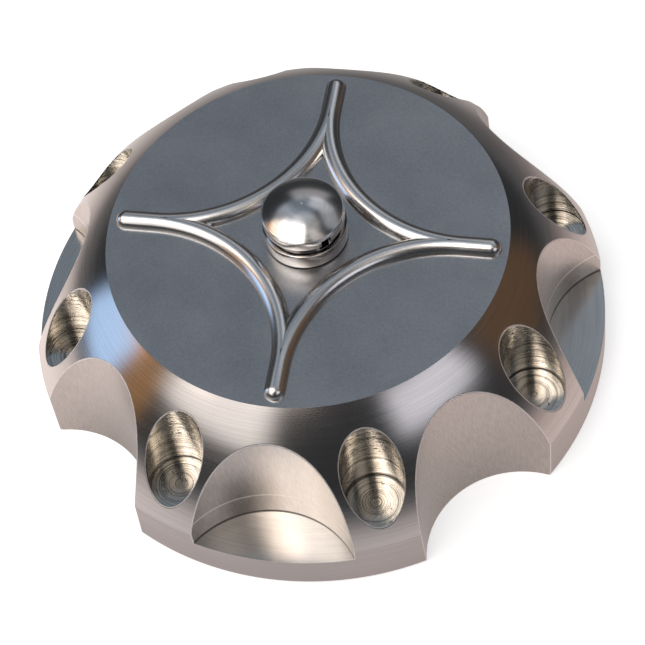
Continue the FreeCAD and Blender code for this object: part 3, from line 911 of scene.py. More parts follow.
def arc_points(start: Point, end: Point, radius: float, steps: int) -> Profile:
    """Points of an arc that bulges to the right of the way from start to end.

    Args:
        start: First point.
        end: Last point.
        radius: Radius of the arc.
        steps: Number of stretches.

    Returns:
        The points, both ends among them.
    """
    first = Vector(start)
    last = Vector(end)
    chord = last - first
    rise = math.sqrt(radius ** 2 - (chord.length / 2) ** 2)
    left = Vector((-chord.y, chord.x)).normalized()
    centre = (first + last) / 2 + left * rise
    low = math.atan2(first.y - centre.y, first.x - centre.x)
    high = math.atan2(last.y - centre.y, last.x - centre.x)
    angles = [low + (high - low) * index / steps for index in range(steps + 1)]
    return [(centre.x + radius * math.cos(angle), centre.y + radius * math.sin(angle)) for angle in angles]


@dataclass
class BilletBody:
    """Turned and milled body of the cap, in millimetres."""

    outer_radius: float = 42.0
    skirt_height: float = 8.3
    skirt_edge: float = 0.5
    flank_radius: float = 37.4
    disc_radius: float = 29.0
    disc_height: float = 25.9
    disc_edge: float = 0.12
    disc_rings: tuple[float, ...] = (20.0, 10.0)
    bore_radius: float = 29.5
    bore_chamfer: float = 1.0
    thread_top: float = 9.5
    thread_relief: float = 0.7
    bore_depth: float = 14.9
    plate_pocket_radius: float = 17.0
    ledge_height: float = 17.4
    chamber_radius: float = 12.5
    ceiling_height: float = 23.4
    bush_bore: float = 4.55
    wall_lean: float = 3.7
    scallop_radius: float = 13.35
    scallop_distance: float = 47.85
    pocket_radius: float = 13.55
    pocket_distance: float = 47.9
    pocket_floor: float = 5.9
    drill_radius: float = 4.43
    drill_pitch_radius: float = 36.37
    drill_floor: float = 10.7
    pocket_step_height: float = 10.05
    pocket_step: float = 0.07
    groove_height: float = 0.16
    groove_depth: float = 0.12
    ledge_slope: float = 0.05
    cutter_length: float = 70.0
    cutter_sides: int = 176
    drill_top: float = 40.0
    drill_sides: int = 112
    turn_steps: int = 256
    flank_steps: int = 28
    corner_steps: int = 5
    finishes: dict[Region, bpy.types.Material] = field(default_factory=dict)

    def build(self) -> bpy.types.Object:
        """Make the billet.

        Returns:
            The dressed piece, which stands for its node.
        """
        self.finishes = {region: finish.build() for region, finish in REGION_FINISHES.items()}
        blank = Bench.lathe("billet", self.outline(), self.turn_steps)
        slots = [self.finishes[region] for region in Region]
        Bench.dress(blank, slots, lambda face: self.blank_region(face).value)
        Bench.carve(blank, self.cutters(slots))
        self.set_normals(blank)
        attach(blank, "cap")
        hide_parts("cap_body")
        return blank

    def outline(self) -> Profile:
        """Closed profile of the turned blank.

        Returns:
            Radii and heights in millimetres, in order.
        """
        edge = self.skirt_edge
        foot = (self.outer_radius - edge, 0.0)
        corner = arc_points(foot, (self.outer_radius, edge), edge, self.corner_steps)
        flank = arc_points(
            (self.outer_radius, self.skirt_height), (self.disc_radius, self.disc_height - self.disc_edge),
            self.flank_radius, self.flank_steps)
        disc = (self.disc_radius - self.disc_edge, *self.disc_rings, self.bush_bore)
        inside = [(radius, self.disc_height) for radius in disc]
        inside += [
            (self.bush_bore, self.ceiling_height),
            (self.chamber_radius, self.ceiling_height),
            (self.chamber_radius, self.ledge_height),
            (self.plate_pocket_radius, self.ledge_height),
            (self.plate_pocket_radius, self.bore_depth),
            (self.bore_radius + self.thread_relief, self.bore_depth),
            (self.bore_radius + self.thread_relief, self.thread_top),
            (self.bore_radius, self.thread_top),
            (self.bore_radius, self.bore_chamfer),
            (self.bore_radius + self.bore_chamfer, 0.0),
        ]
        return corner + flank + inside

    def blank_region(self, face: bpy.types.MeshPolygon) -> Region:
        """Region of a face of the turned blank.

        Args:
            face: The face.

        Returns:
            Its region.
        """
        near = 0.2
        level = 0.02
        radius = math.hypot(face.center.x, face.center.y) / MM
        height = face.center.z / MM
        if radius > self.outer_radius - near and height < self.skirt_height:
            return Region.SKIRT
        if height > self.disc_height - level and radius < self.disc_radius - near / 2:
            return Region.TOP
        outwards = face.normal.x * face.center.x + face.normal.y * face.center.y
        if outwards > 0.0 and radius > self.disc_radius - near and height > level / 2:
            return Region.FLANK if height > self.skirt_height else Region.SKIRT
        return Region.INSIDE

    def leaning_cutter(self, name: str, radius: float, distance: float) -> bpy.types.Object:
        """Cylinder that leans inwards towards its top, on the +X side.

        Args:
            name: Name of the cutter.
            radius: Its radius in millimetres.
            distance: Its axis's distance from the cap's axis at the rim.

        Returns:
            The cutter.
        """
        half = self.cutter_length / 2
        lean = math.radians(self.wall_lean)
        cutter = Bench.rod(name, radius, -half, half, self.cutter_sides)
        cutter.data.transform(Matrix.Rotation(-lean, 4, "Y"))
        cutter.data.transform(Matrix.Translation((distance * MM, 0.0, 0.0)))
        return cutter

    def step_outwards(self, cutter: bpy.types.Object, height: float, step: float) -> None:
        """Widen a leaning pocket cutter below a height, which leaves a fine ledge.

        Args:
            cutter: The cutter, on the +X side.
            height: Height of the ledge in millimetres.
            step: How much wider the cutter gets, in millimetres.
        """
        for level in (height, height - self.ledge_slope):
            with Bench.editing(cutter):
                bpy.ops.mesh.bisect(plane_co=(0.0, 0.0, level * MM), plane_no=(0.0, 0.0, 1.0))
        lean = math.radians(self.wall_lean)
        axis = Vector((-math.sin(lean), 0.0, math.cos(lean)))
        foot = Vector((self.pocket_distance * MM, 0.0, 0.0))
        for vertex in cutter.data.vertices:
            if vertex.co.z < (height - self.ledge_slope / 2) * MM:
                offset = vertex.co - foot
                outwards = offset - axis * offset.dot(axis)
                vertex.co += outwards.normalized() * step * MM

    def drill_cutter(self) -> bpy.types.Object:
        """Drill on the +X side, a little wider just above the floor that it leaves.

        Returns:
            The drill.
        """
        radius = self.drill_radius
        floor = self.drill_floor
        drill = Bench.lathe("drill", [
            (0.0, floor), (radius + self.groove_depth, floor),
            (radius + self.groove_depth, floor + self.groove_height),
            (radius, floor + self.groove_height + self.ledge_slope),
            (radius, self.drill_top), (0.0, self.drill_top),
        ], self.drill_sides)
        drill.data.transform(Matrix.Translation((self.drill_pitch_radius * MM, 0.0, 0.0)))
        return drill

    def cutters(self, slots: list[bpy.types.Material]) -> bpy.types.Object:
        """All cutters of the rim in one mesh, each with the finish that it leaves.

        Args:
            slots: The billet's materials in the order of the regions.

        Returns:
            The joined cutters.
        """
        scallop = self.leaning_cutter("scallop", self.scallop_radius, self.scallop_distance)
        Bench.dress(scallop, slots, lambda face: Region.SCALLOP.value)
        pocket = self.leaning_cutter("pocket", self.pocket_radius, self.pocket_distance)
        self.step_outwards(pocket, self.pocket_step_height, self.pocket_step)
        self.step_outwards(pocket, self.pocket_floor + self.groove_height, self.groove_depth)
        Bench.trim(pocket, Vector((0.0, 0.0, self.pocket_floor * MM)), Vector((0.0, 0.0, -1.0)))
        Bench.dress(pocket, slots, lambda face: self.floor_or_wall(
            face, Region.POCKET_FLOOR, Region.POCKET, self.pocket_floor))
        drill = self.drill_cutter()
        Bench.dress(drill, slots, lambda face: self.floor_or_wall(
            face, Region.DRILL_FLOOR, Region.DRILL, self.drill_floor))
        pieces = Bench.spin_copies(scallop, azimuths(WALL_COUNT, FIRST_SCALLOP))
        pieces += Bench.spin_copies(pocket, azimuths(WALL_COUNT))
        pieces += Bench.spin_copies(drill, azimuths(HOLE_COUNT, FIRST_HOLE))
        return Bench.join("rim_cutters", pieces)

    @staticmethod
    def floor_or_wall(face: bpy.types.MeshPolygon, floor: Region, wall: Region, height: float) -> int:
        """Slot number of a cutter's face, by whether it is the level end at a height."""
        level = abs(face.normal.z) > 0.99 and abs(face.center.z / MM - height) < 0.01
        return floor.value if level else wall.value

    def set_normals(self, piece: bpy.types.Object) -> None:
        """Give every corner the exact direction of the surface that it lies on.

        Args:
            piece: The carved billet.
        """
        mesh = piece.data
        mesh.polygons.foreach_set("use_smooth", [True] * len(mesh.polygons))
        places = [vertex.co.copy() for vertex in mesh.vertices]
        directions: list[Vector] = [Vector((0.0, 0.0, 1.0))] * len(mesh.loops)
        for face in mesh.polygons:
            region = Region(face.material_index)
            for loop in face.loop_indices:
                place = places[mesh.loops[loop].vertex_index]
                directions[loop] = self.direction(region, place, face.normal)
        mesh.normals_split_custom_set(directions)

    def direction(self, region: Region, place: Vector, flat: Vector) -> Vector:
        """Exact outward direction of a region at a place.

        Args:
            region: Region of the face.
            place: Place of the corner.
            flat: Direction of the flat face, for regions with no formula.

        Returns:
            The unit direction.
        """
        azimuth = math.atan2(place.y, place.x)
        if region in (Region.TOP, Region.POCKET_FLOOR, Region.DRILL_FLOOR):
            return Vector((0.0, 0.0, 1.0))
        if region is Region.FLANK and flat.z > 0.01:
            centre = self.flank_centre()
            out = math.hypot(place.x, place.y) / MM - centre[0]
            up = place.z / MM - centre[1]
            return Vector((math.cos(azimuth) * out, math.sin(azimuth) * out, up)).normalized()
        if region is Region.SKIRT and abs(flat.z) < 0.05:
            return Vector((math.cos(azimuth), math.sin(azimuth), 0.0))
        if region in (Region.SCALLOP, Region.POCKET):
            return self.leaning_direction(region, place, azimuth)
        if region is Region.DRILL:
            step = 2.0 * math.pi / HOLE_COUNT
            nearest = round((azimuth - step / 2) / step) * step + step / 2
            centre_x = self.drill_pitch_radius * MM * math.cos(nearest)
            centre_y = self.drill_pitch_radius * MM * math.sin(nearest)
            return Vector((centre_x - place.x, centre_y - place.y, 0.0)).normalized()
        if region is Region.INSIDE and abs(flat.z) < 0.05:
            sign = 1.0 if flat.x * place.x + flat.y * place.y > 0.0 else -1.0
            return Vector((sign * math.cos(azimuth), sign * math.sin(azimuth), 0.0))
        return flat.copy()

    def flank_centre(self) -> tuple[float, float]:
        """Centre of the flank's arc as radius and height in millimetres.

        Returns:
            The centre.
        """
        low = Vector((self.outer_radius, self.skirt_height))
        high = Vector((self.disc_radius, self.disc_height - self.disc_edge))
        chord = high - low
        rise = math.sqrt(self.flank_radius ** 2 - (chord.length / 2) ** 2)
        centre = (low + high) / 2 + Vector((-chord.y, chord.x)).normalized() * rise
        return centre.x, centre.y

    def leaning_direction(self, region: Region, place: Vector, azimuth: float) -> Vector:
        """Direction of a leaning wall, towards its cutter's axis.

        Args:
            region: Scallop or pocket.
            place: Place of the corner.
            azimuth: Its azimuth in radians.

        Returns:
            The unit direction.
        """
        quarter = math.pi / 2
        shift = quarter / 2 if region is Region.SCALLOP else 0.0
        distance = self.scallop_distance if region is Region.SCALLOP else self.pocket_distance
        nearest = round((azimuth - shift) / quarter) * quarter + shift
        lean = math.radians(self.wall_lean)
        outwards = Vector((math.cos(nearest), math.sin(nearest), 0.0))
        axis = Vector((0.0, 0.0, math.cos(lean))) - outwards * math.sin(lean)
        offset = place - outwards * distance * MM
        return (axis * offset.dot(axis) - offset).normalized()


@dataclass
class Star:
    """Four bent half-round ribs on the disc, in millimetres."""

    rib_radius: float = 1.56
    rib_height: float = 1.45
    bend_radius: float = 22.3
    reach: float = 26.4
    disc_height: float = 25.9
    sunk: float = 0.3
    sides: int = 48
    bend_steps: int = 56
    tip_steps: int = 10
    first_turn: float = 0.98
    weld: float = 0.001

    def build(self) -> bpy.types.Object:
        """Make the star.

        Returns:
            The dressed piece.
        """
        piece = self.rib()
        level = (self.disc_height + self.rib_height - self.rib_radius) * MM
        piece.data.transform(Matrix.Translation((0.0, 0.0, level)))
        for direction in (Vector((-1.0, 0.0, 0.0)), Vector((0.0, -1.0, 0.0))):
            Bench.trim(piece, Vector((0.0, 0.0, 0.0)), direction, fill=False)
        floor = (self.disc_height - self.sunk) * MM
        Bench.trim(piece, Vector((0.0, 0.0, floor)), Vector((0.0, 0.0, -1.0)), fill=False)
        mirror = piece.modifiers.new("four_ways", "MIRROR")
        mirror.use_axis = (True, True, False)
        mirror.merge_threshold = 2.0 * self.weld * MM
        Bench.pick(piece)
        bpy.ops.object.modifier_apply(modifier=mirror.name)
        with Bench.editing(piece):
            bpy.ops.mesh.remove_doubles(threshold=self.weld * MM)
            bpy.ops.mesh.normals_make_consistent(inside=False)
        Bench.soften(piece, 35.0)
        Bench.dress(piece, [POLISHED_RIB.build()])
        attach(piece, "cap")
        return piece

    def rib(self) -> bpy.types.Object:
        """One rib from tip to tip: a ring extruded, spun round the bend and extruded again.

        Returns:
            The rib, with its axis at height 0.
        """
        Bench.clear_selection()
        quarter = math.pi / 2
        angles = [quarter * (1.0 - index / self.tip_steps) for index in range(self.tip_steps + 1)]
        angles[0] = quarter * self.first_turn
        places = [self.reach + self.rib_radius * math.sin(angle) for angle in angles]
        sizes = [math.cos(angle) for angle in angles]
        bpy.ops.mesh.primitive_circle_add(
            vertices=self.sides, radius=self.rib_radius * sizes[0] * MM, fill_type="NGON",
            location=(places[0] * MM, 0.0, 0.0), rotation=(0.0, quarter, 0.0))
        piece = Bench.named("star")
        Bench.apply_place(piece)
        stations = [*zip(places, sizes), (self.bend_radius, 1.0)]
        bend = self.bend_radius * MM
        with Bench.editing(piece):
            self.extrude(Vector((1.0, 0.0, 0.0)), stations)
            bpy.ops.mesh.spin(
                steps=self.bend_steps, angle=quarter, center=(bend, bend, 0.0), axis=(0.0, 0.0, 1.0))
            self.extrude(Vector((0.0, 1.0, 0.0)), stations[::-1])
        return piece

    @staticmethod
    def extrude(axis: Vector, stations: list[Point]) -> None:
        """Extrude the selected end along an axis from station to station.

        Args:
            axis: Unit direction of the axis.
            stations: Places along the axis in millimetres, each with the end's size there.
        """
        for (place, size), (next_place, next_size) in zip(stations, stations[1:]):
            move = axis * (next_place - place) * MM
            bpy.ops.mesh.extrude_region_move(TRANSFORM_OT_translate={"value": move})
            scale = next_size / size
            if abs(scale - 1.0) > 1e-6:
                middle = axis * next_place * MM
                bpy.ops.transform.resize(value=(scale, scale, scale), center_override=middle)


EASED_FOOT: Steps = ((-0.10, 0.0), (-0.02, 0.04), (0.0, 0.12))
SOFT_EDGE_ANGLE = 24.0


@dataclass
class VentButton:
    """Domed head on its grooved neck, in millimetres; steps go out and up from a corner."""

    neck_base: float = 28.1
    neck_radius: float = 5.15
    band_base: float = 30.1
    band_radius: float = 5.88
    band_top: float = 31.75
    dome_height: float = 1.55
    air_radius: float = 2.3
    stem_hole: float = 1.52
    stem_grip: float = 0.8
    port_width: float = 1.5
    port_base: float = 28.5
    port_top: float = 31.2
    port_length: float = 6.0
    port_azimuth: float = -47.0
    neck_foot: Steps = ((-0.12, 0.0), (0.0, 0.12))
    cove: Steps = ((0.0, -0.45), (0.03, -0.30), (0.14, -0.16), (0.36, -0.06))
    brow: Steps = ((0.0, -0.16), (-0.03, -0.06), (-0.10, -0.01), (-0.20, 0.0))
    centre_pip: Steps = ((0.16, -0.002), (0.10, -0.05), (0.0, -0.09))
    dome_steps: int = 22
    steps: int = 160

    def build(self) -> bpy.types.Object:
        """Make the button.

        Returns:
            The dressed piece, which stands for its node.
        """
        piece = Bench.lathe("button_head", self.outline(), self.steps)
        Bench.dress(piece, [POLISHED_BUTTON.build(), PORT_SHADOW.build()])
        port = self.port()
        Bench.dress(port, list(piece.data.materials), lambda face: 1)
        Bench.carve(piece, port)
        Bench.soften(piece, SOFT_EDGE_ANGLE)
        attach(piece, "button")
        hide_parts("vent_button")
        return piece

    def outline(self) -> Profile:
        """Closed profile of the turned head.

        Returns:
            Radii and heights in millimetres, in order.
        """
        points: Profile = [(self.air_radius, self.neck_base)]
        points += stepped((self.neck_radius, self.neck_base), self.neck_foot)
        points += stepped((self.neck_radius, self.band_base), self.cove)
        points += stepped((self.band_radius, self.band_base), EASED_FOOT)
        points += stepped((self.band_radius, self.band_top), self.brow)
        rim = points[-1][0]
        bend = (rim ** 2 + self.dome_height ** 2) / (2.0 * self.dome_height)
        top = self.band_top + self.dome_height
        reach = math.asin(rim / bend)
        for index in range(1, self.dome_steps):
            angle = reach * (1.0 - index / self.dome_steps)
            points.append((bend * math.sin(angle), top - bend + bend * math.cos(angle)))
        points += stepped((0.0, top), self.centre_pip)
        points += [
            (0.0, self.band_base + self.stem_grip), (self.stem_hole, self.band_base + self.stem_grip),
            (self.stem_hole, self.band_base), (self.air_radius, self.band_base),
        ]
        return points

    def port(self) -> bpy.types.Object:
        """Block that mills the port into the side of the neck and the band.

        Returns:
            The block.
        """
        Bench.clear_selection()
        bpy.ops.mesh.primitive_cube_add(size=MM, location=(0.0, 0.0, 0.0))
        port = Bench.named("port")
        height = self.port_top - self.port_base
        port.data.transform(Matrix.Diagonal((self.port_length, self.port_width, height, 1.0)))
        reach = self.air_radius - 0.1 + self.port_length / 2
        middle = Vector((reach, 0.0, (self.port_base + self.port_top) / 2))
        port.data.transform(Matrix.Translation(middle * MM))
        port.data.transform(Matrix.Rotation(math.radians(self.port_azimuth), 4, "Z"))
        return port


@dataclass
class VentBush:
    """Collar and barrel that guide the button, in millimetres."""

    barrel_base: float = 21.2
    barrel_radius: float = 4.5
    collar_base: float = 26.2
    collar_radius: float = 6.02
    collar_top: float = 28.8
    well_radius: float = 5.25
    well_floor: float = 26.8
    spring_bore: float = 3.3
    spring_floor: float = 22.8
    guide_radius: float = 1.55
    vent_radius: float = 0.5
    vent_distance: float = 2.4
    vent_count: int = 3
    vent_first: float = 90.0
    barrel_foot: Steps = ((-0.2, 0.0), (0.0, 0.2))
    collar_lip: Steps = ((0.0, -0.10), (-0.02, -0.03), (-0.07, 0.0), (-0.14, -0.03))
    well_edge: Steps = ((0.25, -0.28), (0.0, -0.5))
    steps: int = 160

    def build(self) -> bpy.types.Object:
        """Make the bush.

        Returns:
            The dressed piece, which stands for its node.
        """
        piece = Bench.lathe("bush_collar", self.outline(), self.steps)
        past = 0.5
        vent = Bench.rod("vent", self.vent_radius, self.barrel_base - past, self.spring_floor + past, 24,
                         (self.vent_distance, 0.0))
        vents = Bench.spin_copies(vent, azimuths(self.vent_count, self.vent_first))
        Bench.carve(piece, Bench.join("vents", vents))
        Bench.soften(piece, SOFT_EDGE_ANGLE)
        Bench.dress(piece, [POLISHED_COLLAR.build()])
        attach(piece, "cap")
        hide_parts("vent_bush")
        return piece

    def outline(self) -> Profile:
        """Closed profile of the turned bush.

        Returns:
            Radii and heights in millimetres, in order.
        """
        points: Profile = [(self.guide_radius, self.barrel_base)]
        points += stepped((self.barrel_radius, self.barrel_base), self.barrel_foot)
        points.append((self.barrel_radius, self.collar_base))
        points += stepped((self.collar_radius, self.collar_base), EASED_FOOT)
        points += stepped((self.collar_radius, self.collar_top), self.collar_lip)
        points += stepped((self.well_radius, self.collar_top), self.well_edge)
        return points + [
            (self.well_radius, self.well_floor), (self.spring_bore, self.well_floor),
            (self.spring_bore, self.spring_floor), (self.guide_radius, self.spring_floor),
        ]


@dataclass
class NeckThread:
    """Coarse thread in the bore and the rubber ring above it, in millimetres."""

    bore_radius: float = 29.5
    crest_radius: float = 28.75
    pitch: float = 3.0
    start: float = 1.9
    turns: float = 2.2
    root_sink: float = 0.05
    flank_rise: float = 0.75
    root_width: float = 2.1
    turn_steps: int = 160
    ring_inner: float = 22.5
    ring_outer: float = 30.1
    ring_base: float = 12.9
    ring_top: float = 14.9
    ring_foot: float = 0.3
    ring_brow: float = 0.2
    ring_steps: int = 192
    press_inner: float = 25.2
    press_outer: float = 28.6
    press_depth: float = 0.15
    press_slope: float = 0.3

    def build(self) -> list[bpy.types.Object]:
        """Make the thread's ridge and the ring.

        Returns:
            Both dressed pieces.
        """
        ridge = self.ridge()
        Bench.dress(ridge, [THREAD_METAL.build()])
        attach(ridge, "cap")
        ring = Bench.lathe("neck_ring", self.ring_outline(), self.ring_steps)
        Bench.soften(ring, 30.0)
        Bench.dress(ring, [BLACK_RUBBER.build()])
        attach(ring, "cap")
        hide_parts("neck_gasket")
        return [ridge, ring]

    def ridge(self) -> bpy.types.Object:
        """Ridge that climbs the bore: one tooth swept along a helix.

        Returns:
            The ridge.
        """
        Bench.clear_selection()
        bpy.ops.mesh.primitive_plane_add(size=MM, location=(0.0, 0.0, 0.0))
        piece = Bench.named("thread_ridge")
        root = self.bore_radius + self.root_sink
        corners = (
            (root, self.start), (self.crest_radius, self.start + self.flank_rise),
            (root, self.start + self.root_width),
            (self.crest_radius, self.start + self.root_width - self.flank_rise),
        )
        for vertex, (radius, height) in zip(piece.data.vertices, corners):
            vertex.co = Vector((radius * MM, 0.0, height * MM))
        climb = piece.modifiers.new("climb", "SCREW")
        climb.axis = "Z"
        climb.angle = 2.0 * math.pi * self.turns
        climb.screw_offset = self.pitch * self.turns * MM
        climb.steps = round(self.turn_steps * self.turns)
        climb.render_steps = climb.steps
        climb.use_smooth_shade = False
        with Bench.editing(piece):
            bpy.ops.mesh.delete(type="ONLY_FACE")
        bpy.ops.object.modifier_apply(modifier=climb.name)
        with Bench.editing(piece):
            bpy.ops.mesh.remove_doubles(threshold=Bench.WELD)
            bpy.ops.mesh.fill_holes(sides=4)
            bpy.ops.mesh.select_all(action="SELECT")
            bpy.ops.mesh.normals_make_consistent(inside=False)
        Bench.soften(piece, 25.0)
        return piece

    def ring_outline(self) -> Profile:
        """Closed profile of the rubber ring, with a shallow groove where the neck presses.

        Returns:
            Radii and heights in millimetres, in order.
        """
        base = self.ring_base
        top = self.ring_top
        foot = self.ring_foot
        brow = self.ring_brow
        pressed = base + self.press_depth
        return [
            (self.ring_inner, base + foot), (self.ring_inner + foot, base), (self.press_inner, base),
            (self.press_inner + self.press_slope, pressed), (self.press_outer - self.press_slope, pressed),
            (self.press_outer, base), (self.ring_outer - foot, base), (self.ring_outer, base + foot),
            (self.ring_outer, top - brow), (self.ring_outer - brow, top), (self.ring_inner + brow, top),
            (self.ring_inner, top - brow),
        ]


@dataclass
class Breather:
    """Finishes for the nodes that keep their own shapes."""

    finishes: dict[str, Metal | Rubber] = field(default_factory=lambda: {
        "bush_gasket": BLACK_RUBBER, "bush_nut": STEEL, "button_stem": STEEL, "button_clip": STEEL,
        "valve_plate": PLATE_METAL, "plate_gasket": BLACK_RUBBER, "plate_screws": STEEL,
        "splash_baffle": PRESSED_METAL, "vacuum_valve": BRASS, "vacuum_seal": BLACK_RUBBER,
        "vacuum_clip": STEEL, "relief_valve": BRASS, "relief_seal": BLACK_RUBBER,
    })

    def dress(self, nodes: dict[str, bpy.types.Object]) -> None:
        """Give each node its material.

        Args:
            nodes: The frame's nodes by name.
        """
        made: dict[str, bpy.types.Material] = {}
        for name, finish in self.finishes.items():
            if finish.name not in made:
                made[finish.name] = finish.build()
            node = nodes[name]
            node.data.materials.clear()
            node.data.materials.append(made[finish.name])
            LOG.info("dressed %s with %s", name, finish.name)


@dataclass(frozen=True)
class Coil:
    """Spring copied from its node, with a finish of its own.

    Attributes:
        name: Name of the piece.
        node: Node whose shape it takes and which it stands for.
        joint: Joint that would press the spring; not used.
        travel: How much shorter it would get in millimetres; not used.
        held_low: Whether its lower end would stay in place; not used.
    """

    name: str
    node: str
    joint: str
    travel: float
    held_low: bool

    def build(self, nodes: dict[str, bpy.types.Object]) -> bpy.types.Object:
        """Make the spring.

        Args:
            nodes: The frame's nodes by name.

        Returns:
            The dressed piece, which stands for its node.
        """
        node = nodes[self.node]
        piece = bpy.data.objects.new(self.name, node.data.copy())
        piece.data.name = self.name
        piece.data.transform(node.matrix_world)
        bpy.context.collection.objects.link(piece)
        with Bench.editing(piece):
            bpy.ops.mesh.remove_doubles(threshold=Bench.WELD)
        Bench.soften(piece, 40.0)
        Bench.dress(piece, [SPRING_WIRE.build()])
        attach(piece, "cap")
        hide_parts(self.node)
        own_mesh(piece)
        return piece


COILS = (
    Coil("button_coil", "button_spring", "button_slide", 1.2, True),
    Coil("vacuum_coil", "vacuum_spring", "vacuum_slide", 1.2, True),
    Coil("relief_coil", "relief_spring", "relief_slide", 0.8, False),
)


@dataclass(frozen=True)
class Panel:
    """Soft panel of light that the metal mirrors.

    Attributes:
        azimuth: Middle in degrees from +X.
        half_width: Half its width in degrees, 180 for a band all round.
        softness: Fade at its sides in degrees.
        low: Elevation of its lower edge in degrees.
        high: Elevation of its upper edge in degrees.
        fade: Fade at those edges, as a share of the sphere's radius.
        light: Colour times strength.
    """

    azimuth: float
    half_width: float
    softness: float
    low: float
    high: float
    fade: float
    light: Colour

    def mask(self, bench: ShaderBench, azimuth: Wire, height: Wire) -> Wire:
        """Where the panel is, from 0 to 1.

        Args:
            bench: Bench of the world.
            azimuth: Azimuth of a direction in radians.
            height: Sine of its elevation.

        Returns:
            The mask.
        """
        low = math.sin(math.radians(self.low))
        high = math.sin(math.radians(self.high))
        upright = bench.band(height, (low + high) / 2, (high - low) / 2, self.fade)
        if self.half_width >= 180.0:
            return upright
        turned = azimuth - math.radians(self.azimuth)
        nearest = turned.math("SINE").math("ARCTAN2", turned.math("COSINE"))
        return upright * bench.band(nearest, 0.0, math.radians(self.half_width), math.radians(self.softness))


PANELS = (
    Panel(179, 8, 8, -8, 24, 0.08, (0.7, 1.05, 1.6)),  # window
    Panel(199, 5, 7, 8, 30, 0.06, (0.36, 0.17, 0.04)),  # brown beside the window
    Panel(181, 9, 8, 25, 41, 0.06, (0.5, 0.2, 0.03)),  # brown
    Panel(194, 20, 16, 42, 58, 0.06, (1.6, 1.42, 1.2)),  # left low
    Panel(206, 32, 18, 58, 78, 0.06, (1.9, 1.9, 1.95)),  # left top
    Panel(250, 15, 12, 60, 82, 0.06, (3.9, 3.5, 3.15)),  # top
    Panel(232, 17, 14, 28, 58, 0.08, (1.35, 1.28, 1.25)),  # front left
    Panel(331, 14, 12, 28, 46, 0.06, (1.05, 1.06, 1.18)),  # right
    Panel(324, 14, 12, 58, 72, 0.06, (0.5, 0.46, 0.41)),  # right high
    Panel(32, 16, 14, 44, 60, 0.06, (0.32, 0.34, 0.37)),  # right cool
    Panel(19, 15, 12, 8, 36, 0.06, (0.11, 0.052, 0.012)),  # amber
    Panel(72, 14, 12, 42, 56, 0.06, (0.45, 0.45, 0.48)),  # rear right
    Panel(108, 30, 20, 44, 76, 0.08, (0.14, 0.18, 0.23)),  # rear
    Panel(95, 16, 12, 26, 42, 0.06, (0.34, 0.33, 0.34)),  # rear low
    Panel(150, 14, 12, 44, 76, 0.08, (0.25, 0.26, 0.29)),  # rear left
    Panel(0, 180, 0, 75, 90, 0.06, (0.36, 0.36, 0.37)),  # zenith
    Panel(0, 180, 0, -20, 74, 0.06, (0.03, 0.034, 0.038)),  # dim walls all round
)
FLOOR_CENTRE = (0.38, 0.355, 0.345)
NEAR_FLOOR = ((0.33, 0.315, 0.335), (0.84, 0.73, 0.69), (0.46, 0.35, 0.325), (0.0, 0.0, 0.0))
FAR_FLOOR = (0.02, 0.025, 0.03)
FLOOR_GLOW = 0.60
FLOOR_DEPTH = 0.02
FLOOR_RADIUS = 4.0
FLOOR_SIDES = 96
UNDER_RADII = (40.0, 105.0)
BESIDE_FROM = (30.0, 55.0)
BESIDE_TO = (90.0, 180.0)
WHITE = (1.0, 1.0, 1.0, 1.0)
SHADOW_GREY = (0.8, 0.8, 0.8, 1.0)
DIM_GREY = (0.15, 0.15, 0.15, 1.0)


